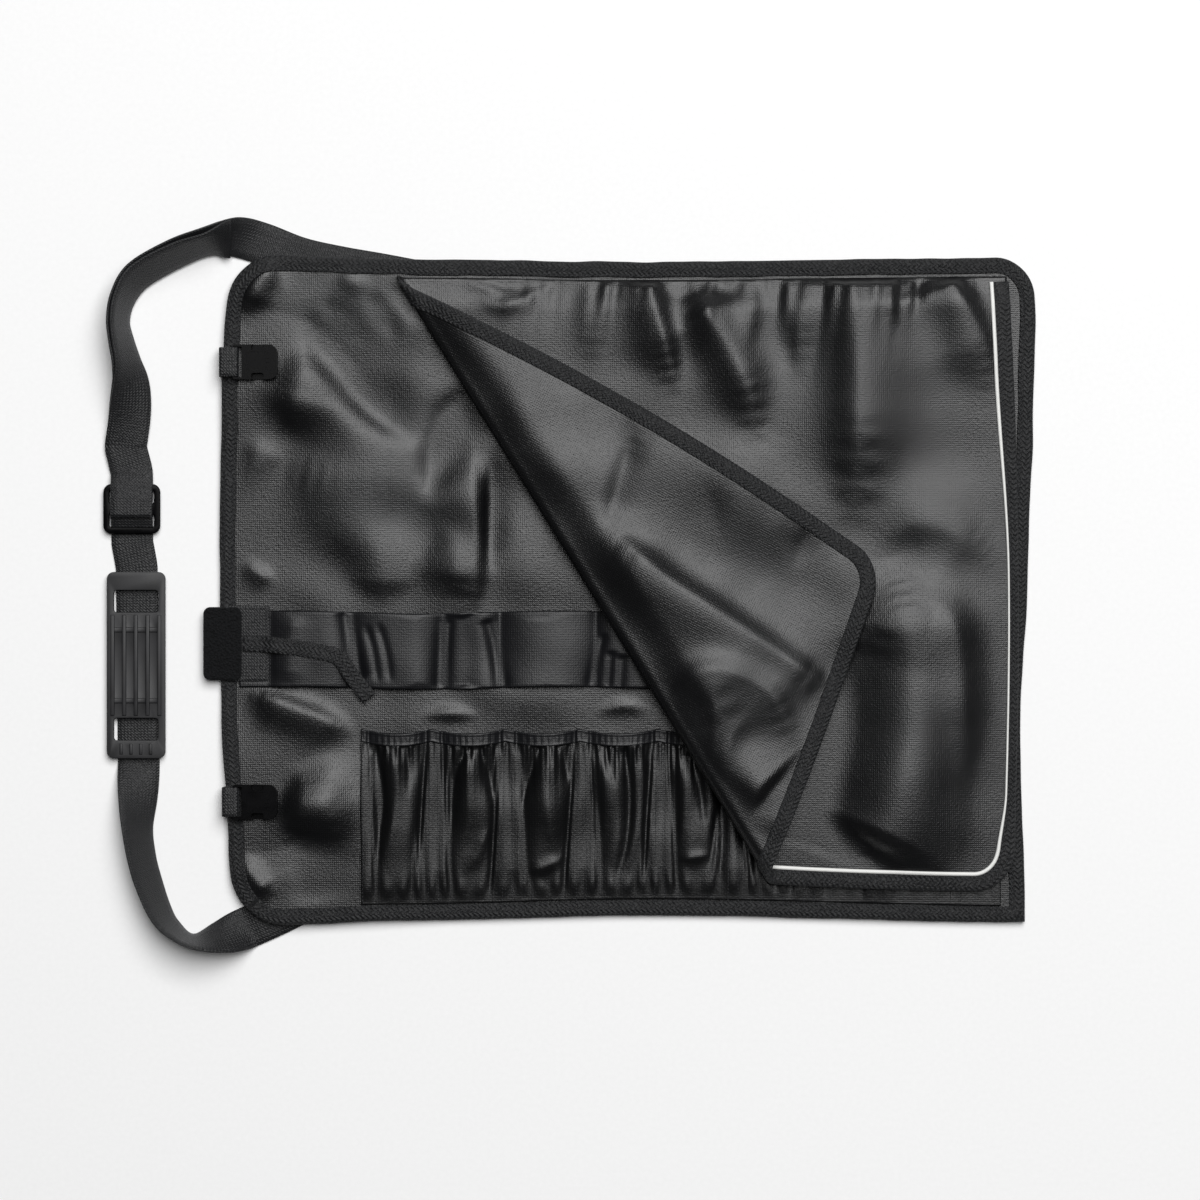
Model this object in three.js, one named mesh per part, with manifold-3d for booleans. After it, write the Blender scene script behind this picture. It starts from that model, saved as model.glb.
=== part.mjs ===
// A chef's knife roll lying open on a table, its cover flap partly folded back.
// Millimetres: X runs along the roll from its left edge, Y towards its top edge, Z up from the table.
import * as THREE from 'three';
import { mergeVertices } from 'three/addons/utils/BufferGeometryUtils.js';
import Module from 'manifold-3d';

const wasm = await Module();
wasm.setup();

// Sizes of the roll's cloth
const PANEL_WIDTH = 585;
const PANEL_DEPTH = 478;
const PANEL_THICKNESS = 2;
const FLAP_THICKNESS = 1.6;
const ELASTIC_THICKNESS = 1.2;
const HEM_THICKNESS = 2.4;
const BINDING_WIDTH = 11.5;
const BINDING_WALL = 1;
const BINDING_CLEARANCE = 0.4;
const PIPING_RADIUS = 1.3;
const CLEARANCE = 0.3;
const PANEL_CORNERS = { bottomLeft: 38, bottomRight: 0, topRight: 28, topLeft: 36 };
const FLAP_CORNERS = { bottomLeft: 22, bottomRight: 28, topRight: 0, topLeft: 0 };

// Sizes of the band, the pockets and what lies on them
const BAND_WIDTH = 54.7;
const BAND_TOP = 223.2;
const POCKET_DEPTH = 118;
const HEM_WIDTH = 9.5;
const SLOT_RISE = 6.5;
const PAD_LENGTH = 27.5;
const PAD_WIDTH = 52.5;
const PAD_THICKNESS = 2.4;
const BASE_THICKNESS = 1.5;
const TAPE_WIDTH = 11.5;
const TAPE_THICKNESS = 1;
const BASE_START = 3.6;
const BASE_CORNER = 2;
const PAD_CORNER = 5;
const TAPE_RISE = 1.2;

// Sizes of the buckles, the strap and its fittings
const LOOP_WIDTH = 21;
const LOOP_THICKNESS = 1.2;
const BUCKLE_LENGTH = 32;
const BUCKLE_WIDTH = 25;
const BUCKLE_HEIGHT = 7.6;
const BUCKLE_WALL = 1.6;
const STRAP_WIDTH = 30;
const STRAP_THICKNESS = 1.8;
const SLIDER_WIDTH = 41;
const SLIDER_LENGTH = 36;
const SLIDER_THICKNESS = 3;
const SLIDER_BAR = 5;
const SLIDER_MIDDLE_BAR = 8;
const RUBBER_WIDTH = 42;
const RUBBER_LENGTH = 134;
const RUBBER_THICKNESS = 4;

// How far the cloth is lifted by webbing that passes beneath it, and how gently it comes down
const LIFT_HEIGHT = 2.8;
const LIFT_FALL = 70;

// The outline bows in from a straight edge: `at` along the edge, `inward` as a share of the other side
const LEFT_BOW = [
  { at: 0, inward: 0.018 }, { at: 0.12, inward: 0.01 }, { at: 0.33, inward: 0.001 },
  { at: 0.6, inward: -0.001 }, { at: 0.8, inward: 0.002 }, { at: 1, inward: 0.01 },
];
const RIGHT_BOW = [
  { at: 0, inward: 0.011 }, { at: 0.29, inward: 0.017 }, { at: 0.55, inward: 0.007 },
  { at: 0.75, inward: 0.001 }, { at: 0.9, inward: -0.002 }, { at: 1, inward: 0 },
];
const BOTTOM_BOW = [
  { at: 0, inward: -0.006 }, { at: 0.22, inward: 0.003 }, { at: 0.53, inward: 0.0105 }, { at: 1, inward: 0 },
];
const TOP_BOW = [
  { at: 0, inward: -0.0045 }, { at: 0.25, inward: 0.003 }, { at: 0.5, inward: 0.006 }, { at: 1, inward: 0 },
];

// Folds in the panel and in the flap, as shares of the panel's sides: a ridge from one point to the other
const PANEL_FOLDS = [
  { fromX: 0.11, fromY: 0.91, toX: 0.25, toY: 0.6, halfWidth: 0.045, height: 5 },
  { fromX: 0.3, fromY: 0.64, toX: 0.305, toY: 0.56, halfWidth: 0.035, height: 3.5 },
  { fromX: 0.085, fromY: 0.71, toX: 0.12, toY: 0.58, halfWidth: 0.04, height: 3 },
];
const FLAP_FOLDS = [
  { fromX: 0.845, fromY: 0.43, toX: 0.84, toY: 0.2, halfWidth: 0.035, height: 6 },
  { fromX: 0.86, fromY: 0.5, toX: 0.905, toY: 0.42, halfWidth: 0.035, height: 6 },
  { fromX: 0.905, fromY: 0.42, toX: 0.91, toY: 0.24, halfWidth: 0.035, height: 5 },
  { fromX: 0.58, fromY: 0.93, toX: 0.61, toY: 0.82, halfWidth: 0.04, height: 5 },
  { fromX: 0.7, fromY: 0.93, toX: 0.72, toY: 0.75, halfWidth: 0.04, height: 5 },
  { fromX: 0.83, fromY: 0.92, toX: 0.83, toY: 0.66, halfWidth: 0.045, height: 5 },
  { fromX: 0.9, fromY: 0.88, toX: 0.94, toY: 0.6, halfWidth: 0.035, height: 3 },
];

// Where webbing lies under the roll, as shares of the panel's sides
const LIFTS = [
  { fromX: -0.05, fromY: 0.842, toX: 0.06, toY: 0.842, halfWidth: 14 },
  { fromX: -0.05, fromY: 0.182, toX: 0.06, toY: 0.182, halfWidth: 14 },
  { fromX: -0.02, fromY: 1.035, toX: 0.2, toY: 0.975, halfWidth: 20 },
  { fromX: 0, fromY: -0.02, toX: 0.15, toY: 0.06, halfWidth: 20 },
];

// Stitched lines that part the band and the pockets, as shares of the panel's width,
// and how high the cloth stands between each line and the next, as a share of SLOT_RISE
const BAND_SLOTS = [
  { at: 0.0603, rise: 0.91 }, { at: 0.1612, rise: 1 }, { at: 0.2757, rise: 0.92 },
  { at: 0.3434, rise: 1 }, { at: 0.4615, rise: 1 }, { at: 0.5502, rise: 1 },
  { at: 0.64, rise: 1 }, { at: 0.7311, rise: 1 }, { at: 0.8209, rise: 1 }, { at: 0.912, rise: 0 },
];
const POCKET_SLOTS = [
  { at: 0.1735, rise: 1 }, { at: 0.2597, rise: 1 }, { at: 0.3508, rise: 1 },
  { at: 0.4418, rise: 1 }, { at: 0.5378, rise: 1 }, { at: 0.6277, rise: 1 },
  { at: 0.7212, rise: 1 }, { at: 0.8086, rise: 1 }, { at: 0.9009, rise: 0 },
];
const BAND_START = 0.0234;
const ROW_END = 0.9588;

// The flap's corners when laid flat, and the two ends of the line it is folded along
const FLAP_PLAN = {
  rootLeft: 0.2203, rootRight: 0.9711,
  bottomLeftX: 0.2609, bottomLeftY: 0.122, bottomRightX: 0.9785, bottomRightY: 0.0542,
  leftBow: 10, rightBow: 3, bottomBow: 8,
};
const FOLD_LINE = { fromX: 0.2197, fromY: 0.9654, toX: 0.673, toY: 0.0663, radiusTop: 5, radiusBottom: 8 };
const LAYER_SEPARATION = 7;
const LAYER_SETTLING = 230;
const FLAP_PLATEAU = 12.8;
const FLAP_EDGE_LEVEL = 8.2;
const FLAP_EDGE_START = 48;

// The strap's two runs: middle of the webbing as shares of the panel's sides, tilt about its own length,
// and how far the doubled layer stands off
const UPPER_RUN = [
  { x: -0.1169, y: 0.7154, tilt: 0, apart: 2.2 }, { x: -0.112, y: 0.759, tilt: 12, apart: 2.4 },
  { x: -0.1108, y: 0.8042, tilt: 35, apart: 2.6 }, { x: -0.1155, y: 0.84, tilt: 58, apart: 3 },
  { x: -0.1225, y: 0.875, tilt: 66, apart: 3 }, { x: -0.1262, y: 0.905, tilt: 70, apart: 3 },
  { x: -0.12, y: 0.94, tilt: 66, apart: 3 }, { x: -0.1, y: 0.975, tilt: 58, apart: 3 },
  { x: -0.0529, y: 1.009, tilt: 60, apart: 4 }, { x: -0.0123, y: 1.028, tilt: 62, apart: 5 },
  { x: 0.0185, y: 1.031, tilt: 24, apart: 4 }, { x: 0.0505, y: 1.022, tilt: 0, apart: 2.5 },
  { x: 0.0972, y: 1, tilt: 0, apart: 2.2 }, { x: 0.1465, y: 0.9864, tilt: 0, apart: 2.2 },
  { x: 0.1957, y: 0.9759, tilt: 0, apart: 2.2 },
];
const LOWER_RUN = [
  { x: -0.1009, y: 0.1988, tilt: 22 }, { x: -0.1009, y: 0.1461, tilt: 48 }, { x: -0.0955, y: 0.1, tilt: 54 },
  { x: -0.0874, y: 0.0633, tilt: 56 }, { x: -0.0738, y: 0.02, tilt: 62 }, { x: -0.0591, y: -0.006, tilt: 70 },
  { x: -0.0332, y: -0.0266, tilt: 76 }, { x: 0.0037, y: -0.0211, tilt: 40 },
  { x: 0.0357, y: -0.0066, tilt: 0 },
  { x: 0.0726, y: 0.0136, tilt: 0 }, { x: 0.1157, y: 0.0392, tilt: 0 }, { x: 0.1465, y: 0.0572, tilt: 0 },
];
const SLIDER_PLACE = { x: -0.1089, y: 0.622 };
const RUBBER_PLACE = { x: -0.1034, y: 0.387 };
const BUCKLE_PLACES = [{ name: 'upper', y: 0.842 }, { name: 'lower', y: 0.182 }];
const BUCKLE_OVERHANG = 9.5;
const PAD_OVERHANG = 11.9;
const PAD_MIDDLE = 0.4195;

// Where the tie tape is folded and where its tail ends, as shares of the panel's sides
const TAPE_PLAN = { foldX: 0.1477, endX: 0.1852, endY: 0.337 };

const MATERIALS = {
  canvas: { color: 0x17171a, roughness: 0.8, metalness: 0 },
  elastic: { color: 0x141416, roughness: 0.85, metalness: 0 },
  twill: { color: 0x1b1b1f, roughness: 0.75, metalness: 0 },
  piping: { color: 0xe6e6e4, roughness: 0.5, metalness: 0 },
  webbing: { color: 0x18181b, roughness: 0.7, metalness: 0 },
  acetal: { color: 0x101012, roughness: 0.3, metalness: 0 },
  rubber: { color: 0x202022, roughness: 0.6, metalness: 0 },
};

const roll = new THREE.Group();
roll.name = 'chef_knife_roll';

// Building closed meshes from points

const smooth = (low, high, value) => THREE.MathUtils.smoothstep(value, low, high);
const mix = (a, b, share) => a + (b - a) * share;

function addMesh(name, geometry, material) {
  geometry.computeVertexNormals();
  const mesh = new THREE.Mesh(geometry, new THREE.MeshStandardMaterial(MATERIALS[material]));
  mesh.name = name;
  roll.add(mesh);
  return mesh;
}

function signedVolume(points, triangles) {
  const [a, b, c] = [new THREE.Vector3(), new THREE.Vector3(), new THREE.Vector3()];
  let sum = 0;
  for (const [i, j, k] of triangles) {
    sum += a.fromArray(points[i]).dot(b.fromArray(points[j]).cross(c.fromArray(points[k])));
  }
  return sum / 6;
}

function closedGeometry(points, triangles) {
  const flip = signedVolume(points, triangles) < 0;
  const geometry = new THREE.BufferGeometry();
  geometry.setAttribute('position', new THREE.Float32BufferAttribute(points.flat(), 3));
  geometry.setIndex(triangles.flatMap(([i, j, k]) => (flip ? [i, k, j] : [i, j, k])));
  return geometry;
}

// A flat net of triangles over a rectangle of steps, each corner cell split through its own corner
function net(columns, rows, place) {
  const points = [];
  const triangles = [];
  for (let row = 0; row <= rows.length - 1; row += 1) {
    for (let column = 0; column <= columns.length - 1; column += 1) {
      points.push(place(columns[column], rows[row]));
    }
  }
  for (let row = 0; row < rows.length - 1; row += 1) {
    for (let column = 0; column < columns.length - 1; column += 1) {
      const a = row * columns.length + column;
      const [b, c, d] = [a + 1, a + columns.length + 1, a + columns.length];
      const rising = (column < (columns.length - 1) / 2) === (row < (rows.length - 1) / 2);
      triangles.push(...(rising ? [[a, b, c], [a, c, d]] : [[a, b, d], [b, c, d]]));
    }
  }
  return { points, triangles };
}

// The net with every triangle split where it crosses the line on which `side` is zero
function cutNet({ points, triangles }, side) {
  const values = points.map((point) => (Math.abs(side(point)) < 0.8 ? 0 : side(point)));
  const made = new Map();
  const crossing = (i, j) => {
    const key = i < j ? `${i}_${j}` : `${j}_${i}`;
    if (!made.has(key)) {
      const share = values[i] / (values[i] - values[j]);
      made.set(key, points.length);
      points.push(points[i].map((value, axis) => mix(value, points[j][axis], share)));
    }
    return made.get(key);
  };
  const result = [];
  for (const triangle of triangles) {
    const signs = triangle.map((index) => Math.sign(values[index]));
    if (!signs.includes(1) || !signs.includes(-1)) {
      result.push(triangle);
      continue;
    }
    const lone = signs.includes(0) ? signs.indexOf(0)
      : signs.findIndex((sign) => signs.filter((other) => other === sign).length === 1);
    const [a, b, c] = [0, 1, 2].map((step) => triangle[(lone + step) % 3]);
    if (signs.includes(0)) {
      const middle = crossing(b, c);
      result.push([a, b, middle], [a, middle, c]);
    } else {
      const [ab, ac] = [crossing(a, b), crossing(a, c)];
      result.push([a, ab, ac], [ab, b, c], [ab, c, ac]);
    }
  }
  return { points, triangles: result };
}

// A closed cloth: the net's lower and upper faces joined round its border
function cloth({ points, triangles }, place) {
  const count = points.length;
  const solid = [...points.map((point) => place(point, 0)), ...points.map((point) => place(point, 1))];
  const faces = triangles.flatMap(([a, b, c]) => [[c, b, a], [a + count, b + count, c + count]]);
  const edges = new Map();
  for (const [a, b, c] of triangles) {
    for (const [from, to] of [[a, b], [b, c], [c, a]]) {
      if (!edges.delete(`${to}_${from}`)) {
        edges.set(`${from}_${to}`, [from, to]);
      }
    }
  }
  for (const [from, to] of edges.values()) {
    faces.push([from, to, to + count], [from, to + count, from + count]);
  }
  return closedGeometry(solid, faces);
}

// A solid through equal rings of points, closed into a loop or capped at both ends
function loft(rings, outline, isLoop) {
  const size = outline.length;
  const triangles = [];
  const last = isLoop ? rings.length : rings.length - 1;
  for (let ring = 0; ring < last; ring += 1) {
    for (let step = 0; step < size; step += 1) {
      const next = (step + 1) % size;
      const [here, there] = [ring * size, ((ring + 1) % rings.length) * size];
      // Facing sides are split along like diagonals, so a twisted strip keeps its thickness
      const [a, b, c, d] = [here + step, here + next, there + next, there + step];
      const forward = outline[next][0] >= outline[step][0];
      triangles.push(...(forward ? [[a, b, c], [a, c, d]] : [[a, b, d], [b, c, d]]));
    }
  }
  if (!isLoop) {
    const flat = outline.map(([x, y]) => new THREE.Vector2(x, y));
    const turn = Math.sign(THREE.ShapeUtils.area(flat));
    for (const face of THREE.ShapeUtils.triangulateShape(flat, [])) {
      const same = Math.sign(THREE.ShapeUtils.area(face.map((index) => flat[index]))) === turn;
      const [a, b, c] = same ? face : [face[0], face[2], face[1]];
      const end = (rings.length - 1) * size;
      triangles.push([c, b, a], [a + end, b + end, c + end]);
    }
  }
  return closedGeometry(rings.flat(), triangles);
}

// Flat webbing along a path, its width level across the path unless tilted; `side` fixes the width's way
function ribbon(path, width, thickness, side) {
  const outline = [[-1, -1], [1, -1], [1, 1], [-1, 1]];
  const points = path.map(({ x, y, z }) => new THREE.Vector3(x, y, z));
  const rings = points.map((point, index) => {
    const before = point.clone().sub(points[Math.max(index - 1, 0)]).normalize();
    const after = points[Math.min(index + 1, points.length - 1)].clone().sub(point).normalize();
    const tangent = before.clone().add(after).normalize();
    const turn = index && index < points.length - 1 ? before.dot(after) : 1;
    const bend = Math.max(0.6, Math.sqrt((1 + turn) / 2));
    const level = side ? side.clone() : new THREE.Vector3(tangent.y, -tangent.x, 0).normalize();
    const normal = level.clone().cross(tangent).normalize();
    const tilt = THREE.MathUtils.degToRad(path[index].tilt ?? 0);
    const across = level.clone().multiplyScalar(Math.cos(tilt)).addScaledVector(normal, -Math.sin(tilt));
    const upward = normal.clone().multiplyScalar(Math.cos(tilt)).addScaledVector(level, Math.sin(tilt));
    return outline.map(([a, b]) => point.clone()
      .addScaledVector(across, (a * width) / 2)
      .addScaledVector(upward, (b * thickness) / 2 / bend)
      .toArray());
  });
  return loft(rings, outline, false);
}

// Solids from three's own shapes, joined or cut

function toManifold(geometry) {
  geometry.deleteAttribute('normal');
  geometry.deleteAttribute('uv');
  const merged = mergeVertices(geometry, 1e-4);
  return new wasm.Manifold(new wasm.Mesh({
    numProp: 3,
    vertProperties: new Float32Array(merged.attributes.position.array),
    triVerts: new Uint32Array(merged.index.array),
  }));
}

function toGeometry(manifold) {
  const { vertProperties, triVerts } = manifold.getMesh();
  const geometry = new THREE.BufferGeometry();
  geometry.setAttribute('position', new THREE.BufferAttribute(vertProperties, 3));
  geometry.setIndex(new THREE.BufferAttribute(triVerts, 1));
  return geometry;
}

function block([x0, x1], [y0, y1], [z0, z1]) {
  const geometry = new THREE.BoxGeometry(x1 - x0, y1 - y0, z1 - z0);
  return toManifold(geometry.translate((x0 + x1) / 2, (y0 + y1) / 2, (z0 + z1) / 2));
}

// A plate from z0 to z1 over a rectangle with cut or rounded corners
function plate([x0, x1], [y0, y1], [z0, z1], corner) {
  const shape = new THREE.Shape();
  shape.moveTo(x0 + corner, y0);
  shape.lineTo(x1 - corner, y0);
  shape.quadraticCurveTo(x1, y0, x1, y0 + corner);
  shape.lineTo(x1, y1 - corner);
  shape.quadraticCurveTo(x1, y1, x1 - corner, y1);
  shape.lineTo(x0 + corner, y1);
  shape.quadraticCurveTo(x0, y1, x0, y1 - corner);
  shape.lineTo(x0, y0 + corner);
  shape.quadraticCurveTo(x0, y0, x0 + corner, y0);
  const settings = { depth: z1 - z0, bevelEnabled: false, curveSegments: 3 };
  const geometry = new THREE.ExtrudeGeometry(shape, settings);
  return toManifold(geometry.translate(0, 0, z0));
}

// The panel's outline and heights

function bowAt(rows, share) {
  const at = THREE.MathUtils.clamp(share, 0, 1);
  const next = Math.max(1, rows.findIndex((row) => row.at >= at));
  const [from, to] = [rows[next - 1], rows[next]];
  return mix(from.inward, to.inward, smooth(from.at, to.at, at));
}

const leftEdge = (y) => PANEL_WIDTH * bowAt(LEFT_BOW, y / PANEL_DEPTH);
const rightEdge = (y) => PANEL_WIDTH * (1 - bowAt(RIGHT_BOW, y / PANEL_DEPTH));
const bottomEdge = (x) => PANEL_DEPTH * bowAt(BOTTOM_BOW, x / PANEL_WIDTH);
const topEdge = (x) => PANEL_DEPTH * (1 - bowAt(TOP_BOW, x / PANEL_WIDTH));

// Squeezes the square at each corner of a rectangle into a quarter disc
function roundCorners(x, y, width, depth, corners, inset) {
  for (const [name, radius] of Object.entries(corners)) {
    const reach = radius - inset;
    const [right, top] = [name.endsWith('Right'), name.startsWith('top')];
    const fromX = right ? width - x : x;
    const fromY = top ? depth - y : y;
    if (reach > 0 && fromX < reach && fromY < reach) {
      const [a, b] = [1 - fromX / reach, 1 - fromY / reach];
      const newX = reach - reach * a * Math.sqrt(1 - (b * b) / 2);
      const newY = reach - reach * b * Math.sqrt(1 - (a * a) / 2);
      return [right ? width - newX : newX, top ? depth - newY : newY];
    }
  }
  return [x, y];
}

function panelPoint(acrossShare, upShare, inset) {
  const [width, depth] = [PANEL_WIDTH - 2 * inset, PANEL_DEPTH - 2 * inset];
  const [x, y] = roundCorners(acrossShare * width, upShare * depth, width, depth, PANEL_CORNERS, inset);
  const [flatX, flatY] = [x + inset, y + inset];
  const [shareX, shareY] = [flatX / PANEL_WIDTH, flatY / PANEL_DEPTH];
  return [
    flatX + leftEdge(flatY) * (1 - shareX) - (PANEL_WIDTH - rightEdge(flatY)) * shareX,
    flatY + bottomEdge(flatX) * (1 - shareY) - (PANEL_DEPTH - topEdge(flatX)) * shareY,
  ];
}

function distanceTo({ fromX, fromY, toX, toY }, x, y) {
  const from = new THREE.Vector3(fromX * PANEL_WIDTH, fromY * PANEL_DEPTH, 0);
  const to = new THREE.Vector3(toX * PANEL_WIDTH, toY * PANEL_DEPTH, 0);
  const point = new THREE.Vector3(x, y, 0);
  return new THREE.Line3(from, to).closestPointToPoint(point, true, new THREE.Vector3()).distanceTo(point);
}

function liftAt(x, y) {
  return LIFT_HEIGHT * Math.max(...LIFTS.map((lift) => 1
    - smooth(lift.halfWidth, lift.halfWidth + LIFT_FALL, distanceTo(lift, x, y))));
}

function foldsAt(folds, x, y) {
  const heights = folds.map((fold) => fold.height
    * (1 - smooth(0, fold.halfWidth * PANEL_WIDTH, distanceTo(fold, x, y))));
  return Math.max(...heights);
}

const EDGE_LEVEL = BINDING_WALL + BINDING_CLEARANCE;
const BINDING_HEIGHT = PANEL_THICKNESS + 2 * EDGE_LEVEL;

// The panel's edge stands on its binding; the middle sags to the table
function panelBottom(x, y) {
  const inside = Math.min(x - leftEdge(y), rightEdge(y) - x, y - bottomEdge(x), topEdge(x) - y);
  return EDGE_LEVEL * (1 - smooth(28, 90, inside)) + liftAt(x, y) + foldsAt(PANEL_FOLDS, x, y);
}

const panelTop = (x, y) => panelBottom(x, y) + PANEL_THICKNESS;

const steps = (count, bias = 0) => Array.from({ length: count + 1 }, (_, index) => {
  const share = index / count;
  return share * (1 - bias + bias * share);
});

// Shares along one side of a rectangle, closer together round its corners
function sideSteps(length, startRadius, endRadius, spacing) {
  const arc = (radius) => (radius > 0 ? [0, 0.45, 1] : [0]).map((share) => (share * radius) / length);
  const [start, end] = [arc(startRadius), arc(endRadius)];
  const [from, to] = [start.at(-1), 1 - end.at(-1)];
  const count = Math.ceil(((to - from) * length) / spacing);
  const middle = Array.from({ length: count - 1 }, (_, index) => mix(from, to, (index + 1) / count));
  return [...start, ...middle, ...end.map((share) => 1 - share).reverse()];
}

const panelColumns = sideSteps(PANEL_WIDTH, PANEL_CORNERS.topLeft, PANEL_CORNERS.topRight, 26);
const panelRows = sideSteps(PANEL_DEPTH, PANEL_CORNERS.bottomLeft, PANEL_CORNERS.topLeft, 23);

function addPanel() {
  const flat = net(panelColumns, panelRows, (a, b) => panelPoint(a, b, EDGE_LEVEL));
  const place = ([x, y], side) => [x, y, panelBottom(x, y) + side * PANEL_THICKNESS];
  addMesh('back_panel', cloth(flat, place), 'canvas');
}

// Points of an edge tape's C-shaped section: how far in from the edge, and how high
function tapeSection(clothThickness, clearance, split) {
  const lower = -BINDING_WALL - clearance;
  const upper = clothThickness - lower;
  const inner = split ? [BINDING_WIDTH / 2] : [];
  return [
    [0, lower], ...inner.map((x) => [x, lower]), [BINDING_WIDTH, lower],
    [BINDING_WIDTH, lower + BINDING_WALL], ...inner.map((x) => [x, lower + BINDING_WALL]),
    [BINDING_WALL, lower + BINDING_WALL], [BINDING_WALL, upper - BINDING_WALL],
    ...inner.map((x) => [x, upper - BINDING_WALL]), [BINDING_WIDTH, upper - BINDING_WALL],
    [BINDING_WIDTH, upper], ...inner.map((x) => [x, upper]), [0, upper],
  ];
}

// The way inwards at each point of a path that runs anticlockwise, mitred at corners
function inwardWays(points, isLoop) {
  const last = points.length - 1;
  const way = (from, to) => new THREE.Vector2(to[0] - from[0], to[1] - from[1]).normalize();
  return points.map((point, index) => {
    const before = index || isLoop ? way(points[(index + last) % (last + 1)], point) : null;
    const after = index < last || isLoop ? way(point, points[(index + 1) % (last + 1)]) : null;
    const [a, b] = [before ?? after, after ?? before].map((one) => new THREE.Vector2(-one.y, one.x));
    return a.clone().add(b).divideScalar(1 + a.dot(b));
  });
}

function addEdgeBinding() {
  const sides = [
    panelColumns.map((share) => [share, 0]),
    panelRows.map((share) => [1, share]),
    panelColumns.toReversed().map((share) => [share, 1]),
    panelRows.toReversed().map((share) => [0, share]),
  ];
  const outline = sides.flatMap((side) => side.slice(0, -1)).map(([a, b]) => panelPoint(a, b, 0));
  const ways = inwardWays(outline, true);
  const section = tapeSection(PANEL_THICKNESS, BINDING_CLEARANCE, false);
  const rings = outline.map(([x, y], index) => section.map(([inward, height]) => {
    const [px, py] = [x + ways[index].x * inward, y + ways[index].y * inward];
    return [px, py, EDGE_LEVEL + height + liftAt(px, py)];
  }));
  addMesh('edge_binding', loft(rings, section, true), 'twill');
}

// The band and the pockets: cloth stitched down at lines and standing up between them

function slotColumns(slots, start, perSlot) {
  const columns = start === null ? [] : [start * PANEL_WIDTH];
  for (let slot = 0; slot < slots.length - 1; slot += 1) {
    for (let step = 0; step < perSlot; step += 1) {
      columns.push(mix(slots[slot].at, slots[slot + 1].at, step / perSlot) * PANEL_WIDTH);
    }
  }
  return [...columns, slots.at(-1).at * PANEL_WIDTH, ROW_END * PANEL_WIDTH];
}

function slotRise(slots, x) {
  const share = x / PANEL_WIDTH;
  for (let slot = 0; slot < slots.length - 1; slot += 1) {
    const [from, to] = [slots[slot].at, slots[slot + 1].at];
    if (share > from && share < to) {
      const off = Math.abs((2 * (share - from)) / (to - from) - 1);
      return SLOT_RISE * slots[slot].rise * (1 - off ** 2.5);
    }
  }
  return 0;
}

function addBand() {
  const flat = net(slotColumns(BAND_SLOTS, BAND_START, 5), steps(2), (x, share) => [
    x, BAND_TOP - BAND_WIDTH * (1 - share),
  ]);
  const place = ([x, y], side) => [
    x, y, panelTop(x, y) + CLEARANCE + slotRise(BAND_SLOTS, x) + side * ELASTIC_THICKNESS,
  ];
  addMesh('knife_band', cloth(flat, place), 'elastic');
}

const pocketFloor = (x) => bottomEdge(x) + BINDING_WIDTH + CLEARANCE;
const hemBottom = BINDING_WIDTH + CLEARANCE + POCKET_DEPTH;

function pocketBottom(x, y) {
  const share = THREE.MathUtils.clamp((y - pocketFloor(x)) / (hemBottom - pocketFloor(x)), 0, 1);
  return panelTop(x, y) + CLEARANCE + slotRise(POCKET_SLOTS, x) * (1 - (1 - share) ** 2);
}

// Each pocket is a cloth of its own between two stitched lines, with its hem above it
function addPockets() {
  const place = (thickness) => ([x, y], side) => [x, y, pocketBottom(x, y) + side * thickness];
  for (let slot = 0; slot < POCKET_SLOTS.length - 1; slot += 1) {
    const columns = slotColumns(POCKET_SLOTS.slice(slot, slot + 2), null, 5);
    if (slot < POCKET_SLOTS.length - 2) {
      columns.pop();
      columns[columns.length - 1] -= CLEARANCE / 2;
    }
    columns[0] += CLEARANCE / 2;
    const pocket = net(columns, steps(5), (x, share) => [x, mix(pocketFloor(x), hemBottom, share)]);
    const hem = net(columns, steps(1), (x, share) => [x, hemBottom + CLEARANCE + share * HEM_WIDTH]);
    addMesh(`pocket_panel_${slot + 1}`, cloth(pocket, place(ELASTIC_THICKNESS)), 'canvas');
    addMesh(`pocket_hem_${slot + 1}`, cloth(hem, place(HEM_THICKNESS)), 'elastic');
  }
}

// The cover flap: laid flat first, then bent over its fold line

function flapPoint(acrossShare, upShare) {
  const width = (FLAP_PLAN.bottomRightX - FLAP_PLAN.bottomLeftX) * PANEL_WIDTH;
  const depth = (1 - FLAP_PLAN.bottomLeftY) * PANEL_DEPTH;
  const [flatX, flatY] = roundCorners(acrossShare * width, upShare * depth, width, depth, FLAP_CORNERS, 0);
  const [a, b] = [flatX / width, flatY / depth];
  const bulge = Math.sin(Math.PI * b);
  const left = mix(FLAP_PLAN.bottomLeftX, FLAP_PLAN.rootLeft, b) * PANEL_WIDTH
    - FLAP_PLAN.leftBow * bulge;
  const right = mix(FLAP_PLAN.bottomRightX, FLAP_PLAN.rootRight, b) * PANEL_WIDTH
    + FLAP_PLAN.rightBow * bulge;
  const x = mix(left, right, a);
  const bottom = mix(FLAP_PLAN.bottomLeftY, FLAP_PLAN.bottomRightY, a) * PANEL_DEPTH
    - FLAP_PLAN.bottomBow * Math.sin(Math.PI * a);
  return [x, mix(bottom, topEdge(x) - BINDING_WIDTH - 3 * CLEARANCE, b)];
}

const ROOT_LEVEL = EDGE_LEVEL + PANEL_THICKNESS + CLEARANCE;

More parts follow.
